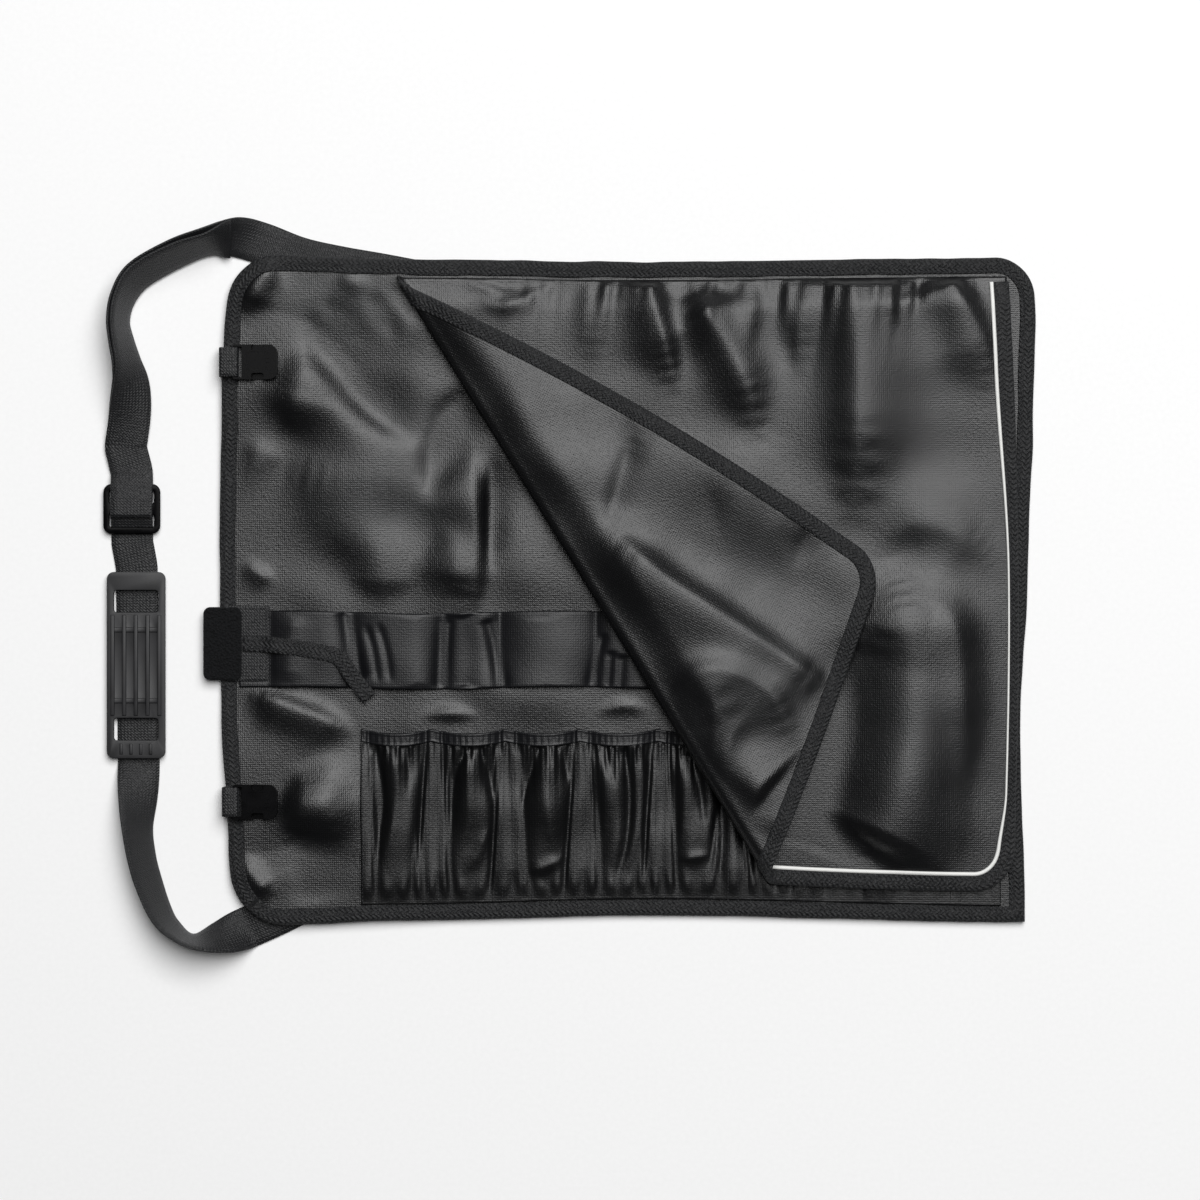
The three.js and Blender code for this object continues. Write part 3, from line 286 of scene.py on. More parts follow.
@dataclass(frozen=True)
class RollPlan:
    """The roll's sizes, its outline and the heights at which its layers lie, as in the solid model."""

    width: float = 585.0
    depth: float = 478.0
    panel: float = 2.0
    flap: float = 1.6
    elastic: float = 1.2
    binding: float = 11.5
    edge_level: float = 1.4
    clearance: float = 0.3
    band_top: float = 223.2
    band_width: float = 54.7
    band_start: float = 0.0234
    row_end: float = 0.9588
    hem_bottom: float = 129.8
    hem_width: float = 9.5
    loft: float = 3.0
    lift_height: float = 2.8
    lift_fall: float = 70.0
    corners: Rounding = Rounding(38, 0, 28, 36)
    left_bow: tuple[Point, ...] = (
        (0, 0.018), (0.12, 0.01), (0.33, 0.001), (0.6, -0.001), (0.8, 0.002), (1, 0.01))
    right_bow: tuple[Point, ...] = (
        (0, 0.011), (0.29, 0.017), (0.55, 0.007), (0.75, 0.001), (0.9, -0.002), (1, 0))
    bottom_bow: tuple[Point, ...] = ((0, -0.006), (0.22, 0.003), (0.53, 0.0105), (1, 0))
    top_bow: tuple[Point, ...] = ((0, -0.0045), (0.25, 0.003), (0.5, 0.006), (1, 0))
    lifts: tuple[Lift, ...] = (
        Lift((-29, 402.5), (35, 402.5), 14),
        Lift((-29, 87), (35, 87), 14),
        Lift((-12, 495), (117, 466), 20),
        Lift((0, -10), (88, 29), 20),
    )
    band_seams: tuple[float, ...] = (
        0.0603, 0.1612, 0.2757, 0.3434, 0.4615, 0.5502, 0.64, 0.7311, 0.8209, 0.912)
    pocket_seams: tuple[float, ...] = (
        0.1735, 0.2597, 0.3508, 0.4418, 0.5378, 0.6277, 0.7212, 0.8086, 0.9009)

    def shift(self) -> Grid:
        """Give the place of the tables' zero point in the frame, in metres."""
        low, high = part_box("knife_band")
        return np.array([
            low[0] - self.band_start * self.width / 1000,
            high[1] - self.band_top / 1000,
            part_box("back_panel")[0][2] + 0.000016,
        ])

    def left(self, y: Grid) -> Grid:
        """Give the left edge's place at a height up the panel."""
        return self.width * bow(self.left_bow, y / self.depth)

    def right(self, y: Grid) -> Grid:
        """Give the right edge's place at a height up the panel."""
        return self.width * (1 - bow(self.right_bow, y / self.depth))

    def bottom(self, x: Grid) -> Grid:
        """Give the lower edge's place at a place along the panel."""
        return self.depth * bow(self.bottom_bow, x / self.width)

    def top(self, x: Grid) -> Grid:
        """Give the upper edge's place at a place along the panel."""
        return self.depth * (1 - bow(self.top_bow, x / self.width))

    def outline(self, across: Grid, up: Grid, inset: float) -> tuple[Grid, Grid]:
        """Take shares of the panel's sides to a place on it.

        Args:
            across: Shares of the width.
            up: Shares of the depth.
            inset: How far inside the outline the shares 0 and 1 lie.

        Returns:
            The places along and up the roll.
        """
        width, depth = self.width - 2 * inset, self.depth - 2 * inset
        x, y = self.corners.squeeze(across * width, up * depth, width, depth, inset)
        x, y = x + inset, y + inset
        a, b = x / self.width, y / self.depth
        return (
            x + self.left(y) * (1 - a) - (self.width - self.right(y)) * a,
            y + self.bottom(x) * (1 - b) - (self.depth - self.top(x)) * b,
        )

    def lift(self, x: Grid, y: Grid) -> Grid:
        """Give how far webbing beneath the panel lifts it at each point."""
        best = np.zeros(np.shape(x))
        for lift in self.lifts:
            (ax, ay), (bx, by) = lift.start, lift.end
            length = math.dist(lift.start, lift.end)
            wx, wy = (bx - ax) / length, (by - ay) / length
            share = np.clip((x - ax) * wx + (y - ay) * wy, 0.0, length)
            off = np.hypot(x - ax - wx * share, y - ay - wy * share)
            best = np.maximum(best, 1 - smooth(lift.half, lift.half + self.lift_fall, off))
        return self.lift_height * best

    @staticmethod
    def pressed(x: Grid) -> Grid:
        """Give how much of its height a pocket or slot keeps under the flap's weight."""
        return 1 - 0.8 * smooth(372, 445, x)

    def inside(self, x: Grid, y: Grid) -> Grid:
        """Give the distance in from the nearest edge of the panel."""
        sides = (x - self.left(y), self.right(y) - x, y - self.bottom(x), self.top(x) - y)
        return np.minimum.reduce(sides)

    def panel_bottom(self, x: Grid, y: Grid) -> Grid:
        """Give the height of the panel's underside."""
        sag = self.edge_level * (1 - smooth(28, 90, self.inside(x, y)))
        loose = self.loft * smooth(36, 90, self.inside(x, y)) * (1 - 0.8 * smooth(230, 330, x))
        slack = folds_at(PANEL_FOLDS, x, y) + PANEL_RIPPLES.raise_at(x, y) * smooth(0, 40, self.inside(x, y))
        return sag + self.lift(x, y) + soft_max(loose + slack, 0.0 * x, 4.0)

    def panel_top(self, x: Grid, y: Grid) -> Grid:
        """Give the height of the panel's upper face."""
        return self.panel_bottom(x, y) + self.panel


# ---------------------------------------------------------------- fold tables

# The panel's folds: a star at its upper left, the long pleat above the band, dips beside the buckles
PANEL_FOLDS: tuple[Fold, ...] = tuple(Fold(*row) for row in (
    (((60, 448), (73, 415), (93, 387), (120, 361), (152, 341)), -7.5, 22.8, 11.4, 0.3, 0.4),
    (((70, 452), (89, 430), (109, 414)), -3.8, 9.5, 6.6, 0.4, 0.5),
    (((102, 454), (118, 435), (127, 414)), -3.8, 8.5, 6.6, 0.4, 0.5),
    (((118, 460), (135, 444), (143, 426)), -3.8, 7.6, 6.6, 0.4, 0.5),
    (((86, 471), (94, 461), (109, 459)), 2.5, 7.6, 9.5, 0.4, 0.4),
    (((182, 390), (164, 363), (153, 331), (150, 298)), -7.5, 22.8, 9.5, 0.35, 0.5),
    (((179, 354), (182, 304), (183, 261), (182, 220)), 5, 8.5, 24.7, 0.4, 0.25),
    (((195, 347), (194, 297), (192, 246)), -5, 11.4, 3.8, 0.5, 0.5),
    (((45, 477), (27, 458), (14, 429)), 6.2, 13.3, 11.4, 0.3, 0.5),
    (((66, 426), (61, 396), (55, 369), (48, 347)), 8.1, 41.8, 20.9, 0.5, 0.4),
    (((12, 341), (30, 338), (48, 325)), 3.1, 11.4, 22.8, 0.4, 0.5),
    (((14, 261), (30, 250), (41, 243)), 2.8, 4.8, 9.5, 0.4, 0.4),
    (((35, 331), (78, 321), (122, 320), (158, 311)), 6.2, 43.7, 47.5, 0.5, 0.5),
    (((86, 249), (114, 247), (147, 245)), 3.1, 28.5, 11.4, 0.5, 0.5),
    (((150, 289), (166, 271), (168, 232)), 2.5, 13.3, 19, 0.5, 0.4),
    (((11, 168), (42, 158), (78, 144), (100, 132)), 6.2, 8.5, 19, 0.35, 0.35),
    (((57, 118), (60, 88), (54, 52)), 8.1, 36.1, 15.2, 0.5, 0.5),
    (((51, 73), (60, 41), (66, 12)), -4.4, 17.1, 11.4, 0.5, 0.2),
    (((16, 53), (22, 36), (39, 17)), 4.4, 8.5, 10.4, 0.4, 0.3),
    (((83, 124), (77, 88), (81, 45)), 3.8, 19, 19, 0.5, 0.5),
    (((142, 148), (165, 151), (189, 148)), 2.5, 4.8, 5.7, 0.5, 0.5),
    (((267, 150), (291, 156), (312, 150)), 2.5, 4.8, 5.7, 0.5, 0.5),
))
# Creases that run across the elastic band where it is stitched down or slack
BAND_FOLDS: tuple[Fold, ...] = tuple(Fold(*row) for row in (
    (((89, 225), (94, 206), (102, 173)), -2.8, 4.5, 4.5, 0.1, 0.1),
    (((104, 216), (110, 196), (114, 171)), -1.3, 2.9, 2.9, 0.2, 0.2),
    (((113, 217), (119, 196), (123, 171)), -1.3, 2.9, 2.9, 0.2, 0.2),
    (((54, 223), (50, 196), (48, 171)), 1.6, 10.4, 10.4, 0.2, 0.2),
    (((163, 219), (160, 196), (158, 167)), -3.2, 3.9, 4.5, 0.1, 0.1),
    (((174, 223), (178, 196), (176, 167)), -2.8, 15.6, 11.7, 0.1, 0.1),
    (((191, 219), (197, 196), (204, 167)), -2.4, 3.9, 3.9, 0.1, 0.1),
    (((276, 209), (270, 189), (265, 167)), -2, 3.2, 3.2, 0.15, 0.15),
    (((281, 196), (280, 180), (279, 167)), -2, 3.2, 3.2, 0.15, 0.15),
    (((289, 193), (288, 180), (287, 166)), -2, 3.9, 3.9, 0.15, 0.15),
    (((140, 223), (142, 196), (143, 168)), 1, 13, 13, 0.1, 0.1),
    (((233, 220), (235, 196), (235, 167)), 0.6, 28.6, 28.6, 0.1, 0.1),
))
# Deep valleys between the pockets, and the slack cloth's own creases in each pocket
POCKET_FOLDS: tuple[Fold, ...] = tuple(Fold(*row) for row in (
    (((112, 130), (117, 88), (113, 52), (112, 23)), -3, 3.5, 4, 0.1, 0.4),
    (((123, 127), (127, 95), (120, 45)), 2, 6, 5, 0.2, 0.5),
    (((133, 130), (136, 109), (135, 88)), -2, 4, 4, 0.1, 0.6),
    (((181, 130), (169, 105), (166, 59)), -3.6, 4, 4, 0.1, 0.6),
    (((174, 130), (179, 95), (176, 52)), 2, 7, 7, 0.3, 0.5),
    (((186, 130), (194, 102), (198, 77)), -3, 4, 4, 0.1, 0.6),
    (((195, 73), (186, 52), (174, 33)), 1.6, 6, 5, 0.4, 0.4),
    (((230, 130), (222, 102), (214, 77)), -3.2, 4, 4, 0.1, 0.6),
    (((238, 130), (235, 88), (241, 45)), 2, 7, 7, 0.3, 0.5),
    (((244, 130), (248, 114), (253, 95)), -2.6, 4, 4, 0.1, 0.6),
    (((218, 36), (233, 40), (250, 48)), 1.8, 5, 5, 0.4, 0.4),
    (((273, 130), (277, 88), (274, 52)), 2, 6, 6, 0.3, 0.5),
    (((290, 130), (294, 95), (292, 58), (282, 23)), -4, 4, 5, 0.1, 0.5),
    (((302, 130), (307, 88), (303, 45)), 2.2, 6, 6, 0.3, 0.5),
    (((277, 130), (280, 113), (284, 95)), -2.4, 3.5, 3.5, 0.1, 0.6),
    (((337, 125), (345, 95), (349, 59)), -3, 4, 4, 0.1, 0.6),
    (((328, 45), (339, 47), (354, 49)), 1.6, 4, 4, 0.4, 0.4),
    (((330, 124), (333, 88), (330, 52)), 2, 5, 5, 0.3, 0.5),
    (((361, 95), (359, 52), (356, 13)), -4, 4, 5, 0.4, 0.1),
    (((371, 72), (381, 52), (384, 27)), -3, 4, 4, 0.3, 0.3),
    (((395, 39), (399, 23), (397, 12)), -3.5, 4, 5, 0.2, 0.1),
    (((417, 39), (413, 24), (410, 12)), -3.5, 4, 5, 0.2, 0.1),
    (((451, 39), (449, 24), (448, 12)), -3.5, 5, 5, 0.2, 0.1),
    (((498, 34), (496, 23), (495, 12)), -3.5, 4, 5, 0.2, 0.1),
    (((536, 34), (534, 22), (532, 12)), -3, 4, 5, 0.2, 0.1),
))
# The outer face of the cover flap: folds that hang from its root, and the crest beside its hollow
FLAP_FOLDS: tuple[Fold, ...] = tuple(Fold(*row) for row in (
    (((480, 264), (488, 232), (493, 192), (492, 131), (482, 82), (464, 43)), 16, 50, 44, 0.25, 0.12),
    (((472, 232), (459, 174), (437, 109), (417, 52)), -7, 40, 44, 0.25, 0.1),
    (((305, 475), (312, 441), (320, 412), (328, 376)), 9, 10, 22, 0.05, 0.5),
    (((338, 455), (361, 419), (377, 387), (385, 340)), 9, 18, 20, 0.2, 0.5),
    (((454, 471), (458, 412), (458, 354), (453, 275)), 12, 36, 22, 0.06, 0.5),
    (((413, 471), (414, 433), (417, 387)), 4, 15, 10, 0.1, 0.6),
    (((518, 469), (536, 441), (550, 412), (558, 369)), 9, 11, 26, 0.12, 0.5),
    (((466, 266), (486, 282), (507, 287), (541, 274), (562, 246)), 4.5, 24, 18, 0.4, 0.4),
    (((500, 229), (513, 232), (526, 216), (534, 179), (536, 88)), 3.5, 16, 13, 0.3, 0.5),
    (((168, 465), (194, 455), (215, 451)), 2, 6, 5, 0.4, 0.4),
    (((185, 471), (201, 459), (230, 464), (246, 468)), -2.5, 5, 5, 0.4, 0.4),
    (((179, 448), (205, 444), (230, 454), (250, 462)), 2.2, 6, 7, 0.4, 0.4),
    (((273, 471), (270, 433), (266, 390)), 3, 12, 16, 0.15, 0.6),
    (((345, 469), (348, 441), (354, 419)), 2, 6, 9, 0.15, 0.6),
    (((385, 471), (382, 441), (377, 405)), 2.6, 8, 12, 0.15, 0.6),
    (((477, 471), (480, 448), (486, 419)), 2.6, 7, 10, 0.15, 0.6),
    (((500, 471), (501, 452), (498, 432)), -1.6, 5, 5, 0.15, 0.6),
    (((359, 471), (365, 455), (362, 438)), -1.6, 5, 5, 0.15, 0.6),
    (((402, 354), (377, 318), (370, 282)), 3, 30, 34, 0.5, 0.5),
))
# The folded part of the flap, which shows its lining
LINING_FOLDS: tuple[Fold, ...] = tuple(Fold(*row) for row in (
    (((150, 459), (215, 365), (280, 275), (338, 189), (370, 127)), 6, 50, 30, 0.06, 0.15),
    (((300, 359), (289, 323), (277, 282)), -3, 13, 8, 0.4, 0.3),
    (((274, 285), (316, 250), (359, 221), (402, 192), (443, 163)), 6.5, 10, 26, 0.2, 0.2),
    (((319, 160), (338, 177), (354, 181), (375, 176), (396, 161), (413, 124)), 6, 12, 50, 0.35, 0.4),
    (((309, 148), (345, 124), (393, 91)), 5, 30, 14, 0.2, 0.1),
    (((273, 382), (345, 338), (417, 289), (453, 256)), 5.5, 12, 46, 0.3, 0.3),
    (((421, 293), (417, 271), (410, 250)), -1.4, 10, 10, 0.5, 0.5),
    (((345, 325), (354, 297), (362, 268)), -1.2, 14, 14, 0.5, 0.5),
))
# The slow unevenness of each cloth between its folds
PANEL_RIPPLES = Ripples(seed=11, length=64, height=0.5)
LINING_RIPPLES = Ripples(seed=23, length=70, height=0.5)
FLAP_RIPPLES = Ripples(seed=37, length=80, height=0.45)
POCKET_RIPPLES = Ripples(seed=41, length=26, height=0.55, stretch=0.5)
EDGE_RIPPLES = Ripples(seed=53, length=34, height=0.22)

PLAN = RollPlan()
SHIFT = PLAN.shift()


def node_box(node: str) -> tuple[Grid, Grid]:
    """Give a CAD node's lowest and highest corners, in millimetres on the roll."""
    low, high = ((np.array(corner) - SHIFT) * 1000 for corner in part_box(node))
    return low, high


def facing_up(line: Grid) -> tuple[Grid, Grid]:
    """Pair a line to be sewn with the way up at each of its points."""
    return line, np.broadcast_to(np.array([0.0, 0.0, 1.0]), line.shape)


# ---------------------------------------------------------------- meshes from nets of points


def make_piece(name: str, points: Grid, faces: Grid, marks: Grid) -> bpy.types.Object:
    """Make a mesh object from points in millimetres on the roll.

    Args:
        name: The piece's name.
        points: One row of three lengths for each point.
        faces: One row of four point numbers for each face.
        marks: One row for each point: its place on the flat cloth, in metres, for the UV map.

    Returns:
        The new object, linked to the scene and shaded smooth.
    """
    mesh = bpy.data.meshes.new(name)
    placed = points.reshape(-1, 3) / 1000.0 + SHIFT
    corners = faces.astype(np.int32).ravel()
    mesh.vertices.add(len(placed))
    mesh.vertices.foreach_set("co", placed.astype(np.float32).ravel())
    mesh.loops.add(len(corners))
    mesh.loops.foreach_set("vertex_index", corners)
    mesh.polygons.add(len(faces))
    mesh.polygons.foreach_set("loop_start", np.arange(0, len(corners), 4, dtype=np.int32))
    mesh.update(calc_edges=True)
    mesh.polygons.foreach_set("use_smooth", np.ones(len(faces), dtype=bool))
    layer = mesh.uv_layers.new(name="cloth")
    layer.data.foreach_set("uv", marks.reshape(-1, 2)[corners].astype(np.float32).ravel())
    piece = bpy.data.objects.new(name, mesh)
    bpy.context.scene.collection.objects.link(piece)
    return piece


def two_faced(name: str, upper: Grid, lower: Grid, marks: Grid) -> bpy.types.Object:
    """Close two nets of points into one sheet of cloth.

    Args:
        name: The piece's name.
        upper: The net of the face that looks up, rows by columns by three lengths.
        lower: The net of the other face, of the same size.
        marks: Each point's place on the flat cloth, in millimetres.

    Returns:
        The closed sheet.
    """
    rows, columns = upper.shape[:2]
    index = np.arange(rows * columns).reshape(rows, columns)
    quads = np.stack([index[:-1, :-1], index[:-1, 1:], index[1:, 1:], index[1:, :-1]], axis=-1).reshape(-1, 4)
    border = np.concatenate([index[0, :-1], index[:-1, -1], index[-1, :0:-1], index[:0:-1, 0]])
    after = np.roll(border, -1)
    count = rows * columns
    rim = np.stack([border + count, after + count, after, border], axis=-1)
    faces = np.concatenate([quads, quads[:, ::-1] + count, rim])
    points = np.concatenate([upper.reshape(-1, 3), lower.reshape(-1, 3)])
    flat = np.concatenate([marks.reshape(-1, 2), marks.reshape(-1, 2)]) / 1000.0
    return make_piece(name, points, faces, flat)


def beneath(upper: Grid, thickness: float) -> Grid:
    """Give the net that lies a cloth's thickness under another."""
    along = np.gradient(upper, axis=1)
    up = np.gradient(upper, axis=0)
    normal = np.cross(along, up)
    normal /= np.maximum(np.linalg.norm(normal, axis=-1, keepdims=True), 1e-9)
    return upper - normal * thickness


def lofted(name: str, rings: Grid, loop: bool) -> bpy.types.Object:
    """Join equal rings of points into a closed strip or a closed hoop.

    Args:
        name: The piece's name.
        rings: Rings by points by three lengths. Point j of a ring lies opposite its jth from the end.
        loop: Whether the last ring joins the first.

    Returns:
        The strip, with its length and girth as its UV map.
    """
    count, size = rings.shape[:2]
    index = np.arange(count * size).reshape(count, size)
    here = index if loop else index[:-1]
    there = np.roll(index, -1, axis=0) if loop else index[1:]
    after = np.roll(np.arange(size), -1)
    sides = np.stack([here, here[:, after], there[:, after], there], axis=-1).reshape(-1, 4)
    faces = [sides]
    if not loop:
        pairs = np.arange(size // 2 - 1)
        for ring, turned in ((index[0], True), (index[-1], False)):
            across = size - 1 - pairs
            cap = np.stack([ring[pairs], ring[pairs + 1], ring[across - 1], ring[across]], axis=-1)
            faces.append(cap[:, ::-1] if turned else cap)
    centre = rings.mean(axis=1)
    steps = np.linalg.norm(np.diff(centre, axis=0), axis=-1)
    along = np.concatenate([[0.0], np.cumsum(steps)])
    girth = np.linalg.norm(np.diff(rings[0], axis=0, append=rings[0][:1]), axis=-1)
    around = np.concatenate([[0.0], np.cumsum(girth)[:-1]])
    marks = np.stack(np.broadcast_arrays(along[:, None], around[None, :]), axis=-1) / 1000.0
    piece = make_piece(name, rings, np.concatenate(faces), marks)
    if signed_volume(piece.data) < 0:
        piece.data.flip_normals()
    return piece


def signed_volume(mesh: bpy.types.Mesh) -> float:
    """Give a closed mesh's volume, below zero where its faces look inwards."""
    mesh.calc_loop_triangles()
    points = np.empty(len(mesh.vertices) * 3, dtype=np.float32)
    mesh.vertices.foreach_get("co", points)
    corners = np.empty(len(mesh.loop_triangles) * 3, dtype=np.int32)
    mesh.loop_triangles.foreach_get("vertices", corners)
    a, b, c = points.reshape(-1, 3)[corners.reshape(-1, 3)].transpose(1, 0, 2)
    return float(np.einsum("ij,ij->i", a, np.cross(b, c)).sum() / 6)


def spread(points: Grid, spacing: float) -> Grid:
    """Walk a line of points again in equal steps.

    Args:
        points: The line's points, two or three lengths each.
        spacing: About how long a step is.

    Returns:
        New points on the same line.
    """
    steps = np.linalg.norm(np.diff(points, axis=0), axis=-1)
    walked = np.concatenate([[0.0], np.cumsum(steps)])
    count = max(2, int(round(walked[-1] / spacing)) + 1)
    stops = np.linspace(0, walked[-1], count)
    return np.stack([np.interp(stops, walked, points[:, axis]) for axis in range(points.shape[1])], axis=-1)


def rounded_path(points: Grid, between: int) -> Grid:
    """Draw a smooth line through points, as a thin bent strip would lie.

    Args:
        points: The points, any number of values each.
        between: How many steps lie between two of them.

    Returns:
        The points of the smooth line.
    """
    padded = np.concatenate([[2 * points[0] - points[1]], points, [2 * points[-1] - points[-2]]])
    out = []
    for step in range(len(points) - 1):
        p0, p1, p2, p3 = padded[step:step + 4]
        for part in np.arange(between) / between:
            out.append(0.5 * (2 * p1 + (p2 - p0) * part + (2 * p0 - 5 * p1 + 4 * p2 - p3) * part ** 2
                              + (3 * p1 - p0 - 3 * p2 + p3) * part ** 3))
    out.append(points[-1])
    return np.array(out)


def webbing_rings(path: Grid, width: float, thickness: float, level: Grid | None = None) -> Grid:
    """Lay flat webbing along a line.

    Args:
        path: Rows of place along, place up, height and tilt about the webbing's own length in degrees.
        width: The webbing's width.
        thickness: Its thickness.
        level: The way its width runs, where that is the same all along.

    Returns:
        The rings of the strip's section, for `lofted`.
    """
    points = path[:, :3]
    tangent = np.gradient(points, axis=0)
    tangent /= np.linalg.norm(tangent, axis=-1, keepdims=True)
    if level is None:
        flat = np.stack([tangent[:, 1], -tangent[:, 0], 0 * tangent[:, 0]], axis=-1)
        flat /= np.maximum(np.linalg.norm(flat, axis=-1, keepdims=True), 1e-9)
    else:
        flat = np.broadcast_to(level, points.shape)
    normal = np.cross(flat, tangent)
    normal /= np.linalg.norm(normal, axis=-1, keepdims=True)
    tilt = np.radians(path[:, 3])[:, None]
    across = flat * np.cos(tilt) - normal * np.sin(tilt)
    upward = normal * np.cos(tilt) + flat * np.sin(tilt)
    shares = np.array([-1, -0.965, -0.6, -0.2, 0.2, 0.6, 0.965, 1])
    rise = np.array([0.45, 0.96, 1, 1, 1, 1, 0.96, 0.45])
    outline = [(a, -b) for a, b in zip(shares, rise)] + [(a, b) for a, b in zip(shares[::-1], rise[::-1])]
    return np.stack([
        points + across * (a * width / 2) + upward * (b * thickness / 2) for a, b in outline
    ], axis=1)


@dataclass(frozen=True)
class Stitch:
    """A line of lockstitches in thick thread, each one a short rounded float between two needle holes."""

    length: float = 2.4
    pitch: float = 3.2
    thread: float = 0.55

    def sew(self, name: str, lines: list[tuple[Grid, Grid]]) -> bpy.types.Object:
        """Sew along lines that lie on cloth.

        Args:
            name: The piece's name.
            lines: For each line its points, and the way out of the cloth at each point.

        Returns:
            One mesh that holds every stitch.
        """
        shares = np.array([-0.5, -0.28, 0.28, 0.5])
        girth = np.array([0.45, 1.0, 1.0, 0.45])
        sink = np.array([-0.35, 0.35, 0.35, -0.35])
        angles = np.arange(6) * math.pi / 3
        points, faces, start = [], [], 0
        ring = np.arange(6)
        after = np.roll(ring, -1)
        strip = np.concatenate([
            np.stack([ring, after, after + 6, ring + 6], axis=-1) + 6 * k
            for k in range(3)
        ] + [np.array([[3, 2, 1, 0], [5, 4, 3, 0], [18, 19, 20, 21], [18, 21, 22, 23]])])
        for line, out in lines:
            walk = spread(np.concatenate([line, out], axis=-1), self.pitch)
            for here, there in zip(walk[:-1], walk[1:]):
                way = there[:3] - here[:3]
                way /= max(np.linalg.norm(way), 1e-9)
                up = here[3:] / max(np.linalg.norm(here[3:]), 1e-9)
                aside = np.cross(way, up)
                middle = (here[:3] + there[:3]) / 2
                radius = self.thread / 2
                for share, size, rise in zip(shares, girth, sink):
                    core = middle + way * share * self.length + up * rise * self.thread
                    for angle in angles:
                        points.append(core + (aside * math.cos(angle) + up * math.sin(angle)) * radius * size)
                faces.append(strip + start)
                start += 24
        array = np.array(points)
        piece = make_piece(name, array, np.concatenate(faces), array[:, :2] / 1000.0)
        if signed_volume(piece.data) < 0:
            piece.data.flip_normals()
        return piece


# ---------------------------------------------------------------- finishes


def linear(hex_colour: str) -> tuple[float, float, float, float]:
    """Turn an sRGB hex colour to the linear values that shaders take."""
    parts = [int(hex_colour[i:i + 2], 16) / 255 for i in (1, 3, 5)]
    red, green, blue = [v / 12.92 if v <= 0.04045 else ((v + 0.055) / 1.055) ** 2.4 for v in parts]
    return red, green, blue, 1.0


def add_node(
    tree: bpy.types.NodeTree, kind: str, settings: dict | None = None, **links: object,
) -> bpy.types.Node:
    """Add one node with its settings and its incoming links.

    Args:
        tree: The material's node tree.
        kind: The node's type name, without its ShaderNode prefix.
        settings: Values for the node's properties, or for its sockets by name or number.
        links: Sockets to join, by input name with `_` for a space, or `in0`, `in1` for numbered inputs.

    Returns:
        The new node.
    """
    node = tree.nodes.new("ShaderNode" + kind)
    for key, value in (settings or {}).items():
        if isinstance(key, int) or key in node.inputs:
            node.inputs[key].default_value = value
        else:
            setattr(node, key, value)
    for key, socket in links.items():
        target = node.inputs[int(key[2:])] if key.startswith("in") and key[2:].isdigit() else node.inputs[
            key.replace("_", " ")]
        tree.links.new(socket, target)
    return node


class Weave(Enum):
    """How a textile's threads run."""

    PLAIN = "plain"
    TWILL = "twill"
    HERRINGBONE = "herringbone"
    WEBBING = "webbing"
    PILE = "pile"


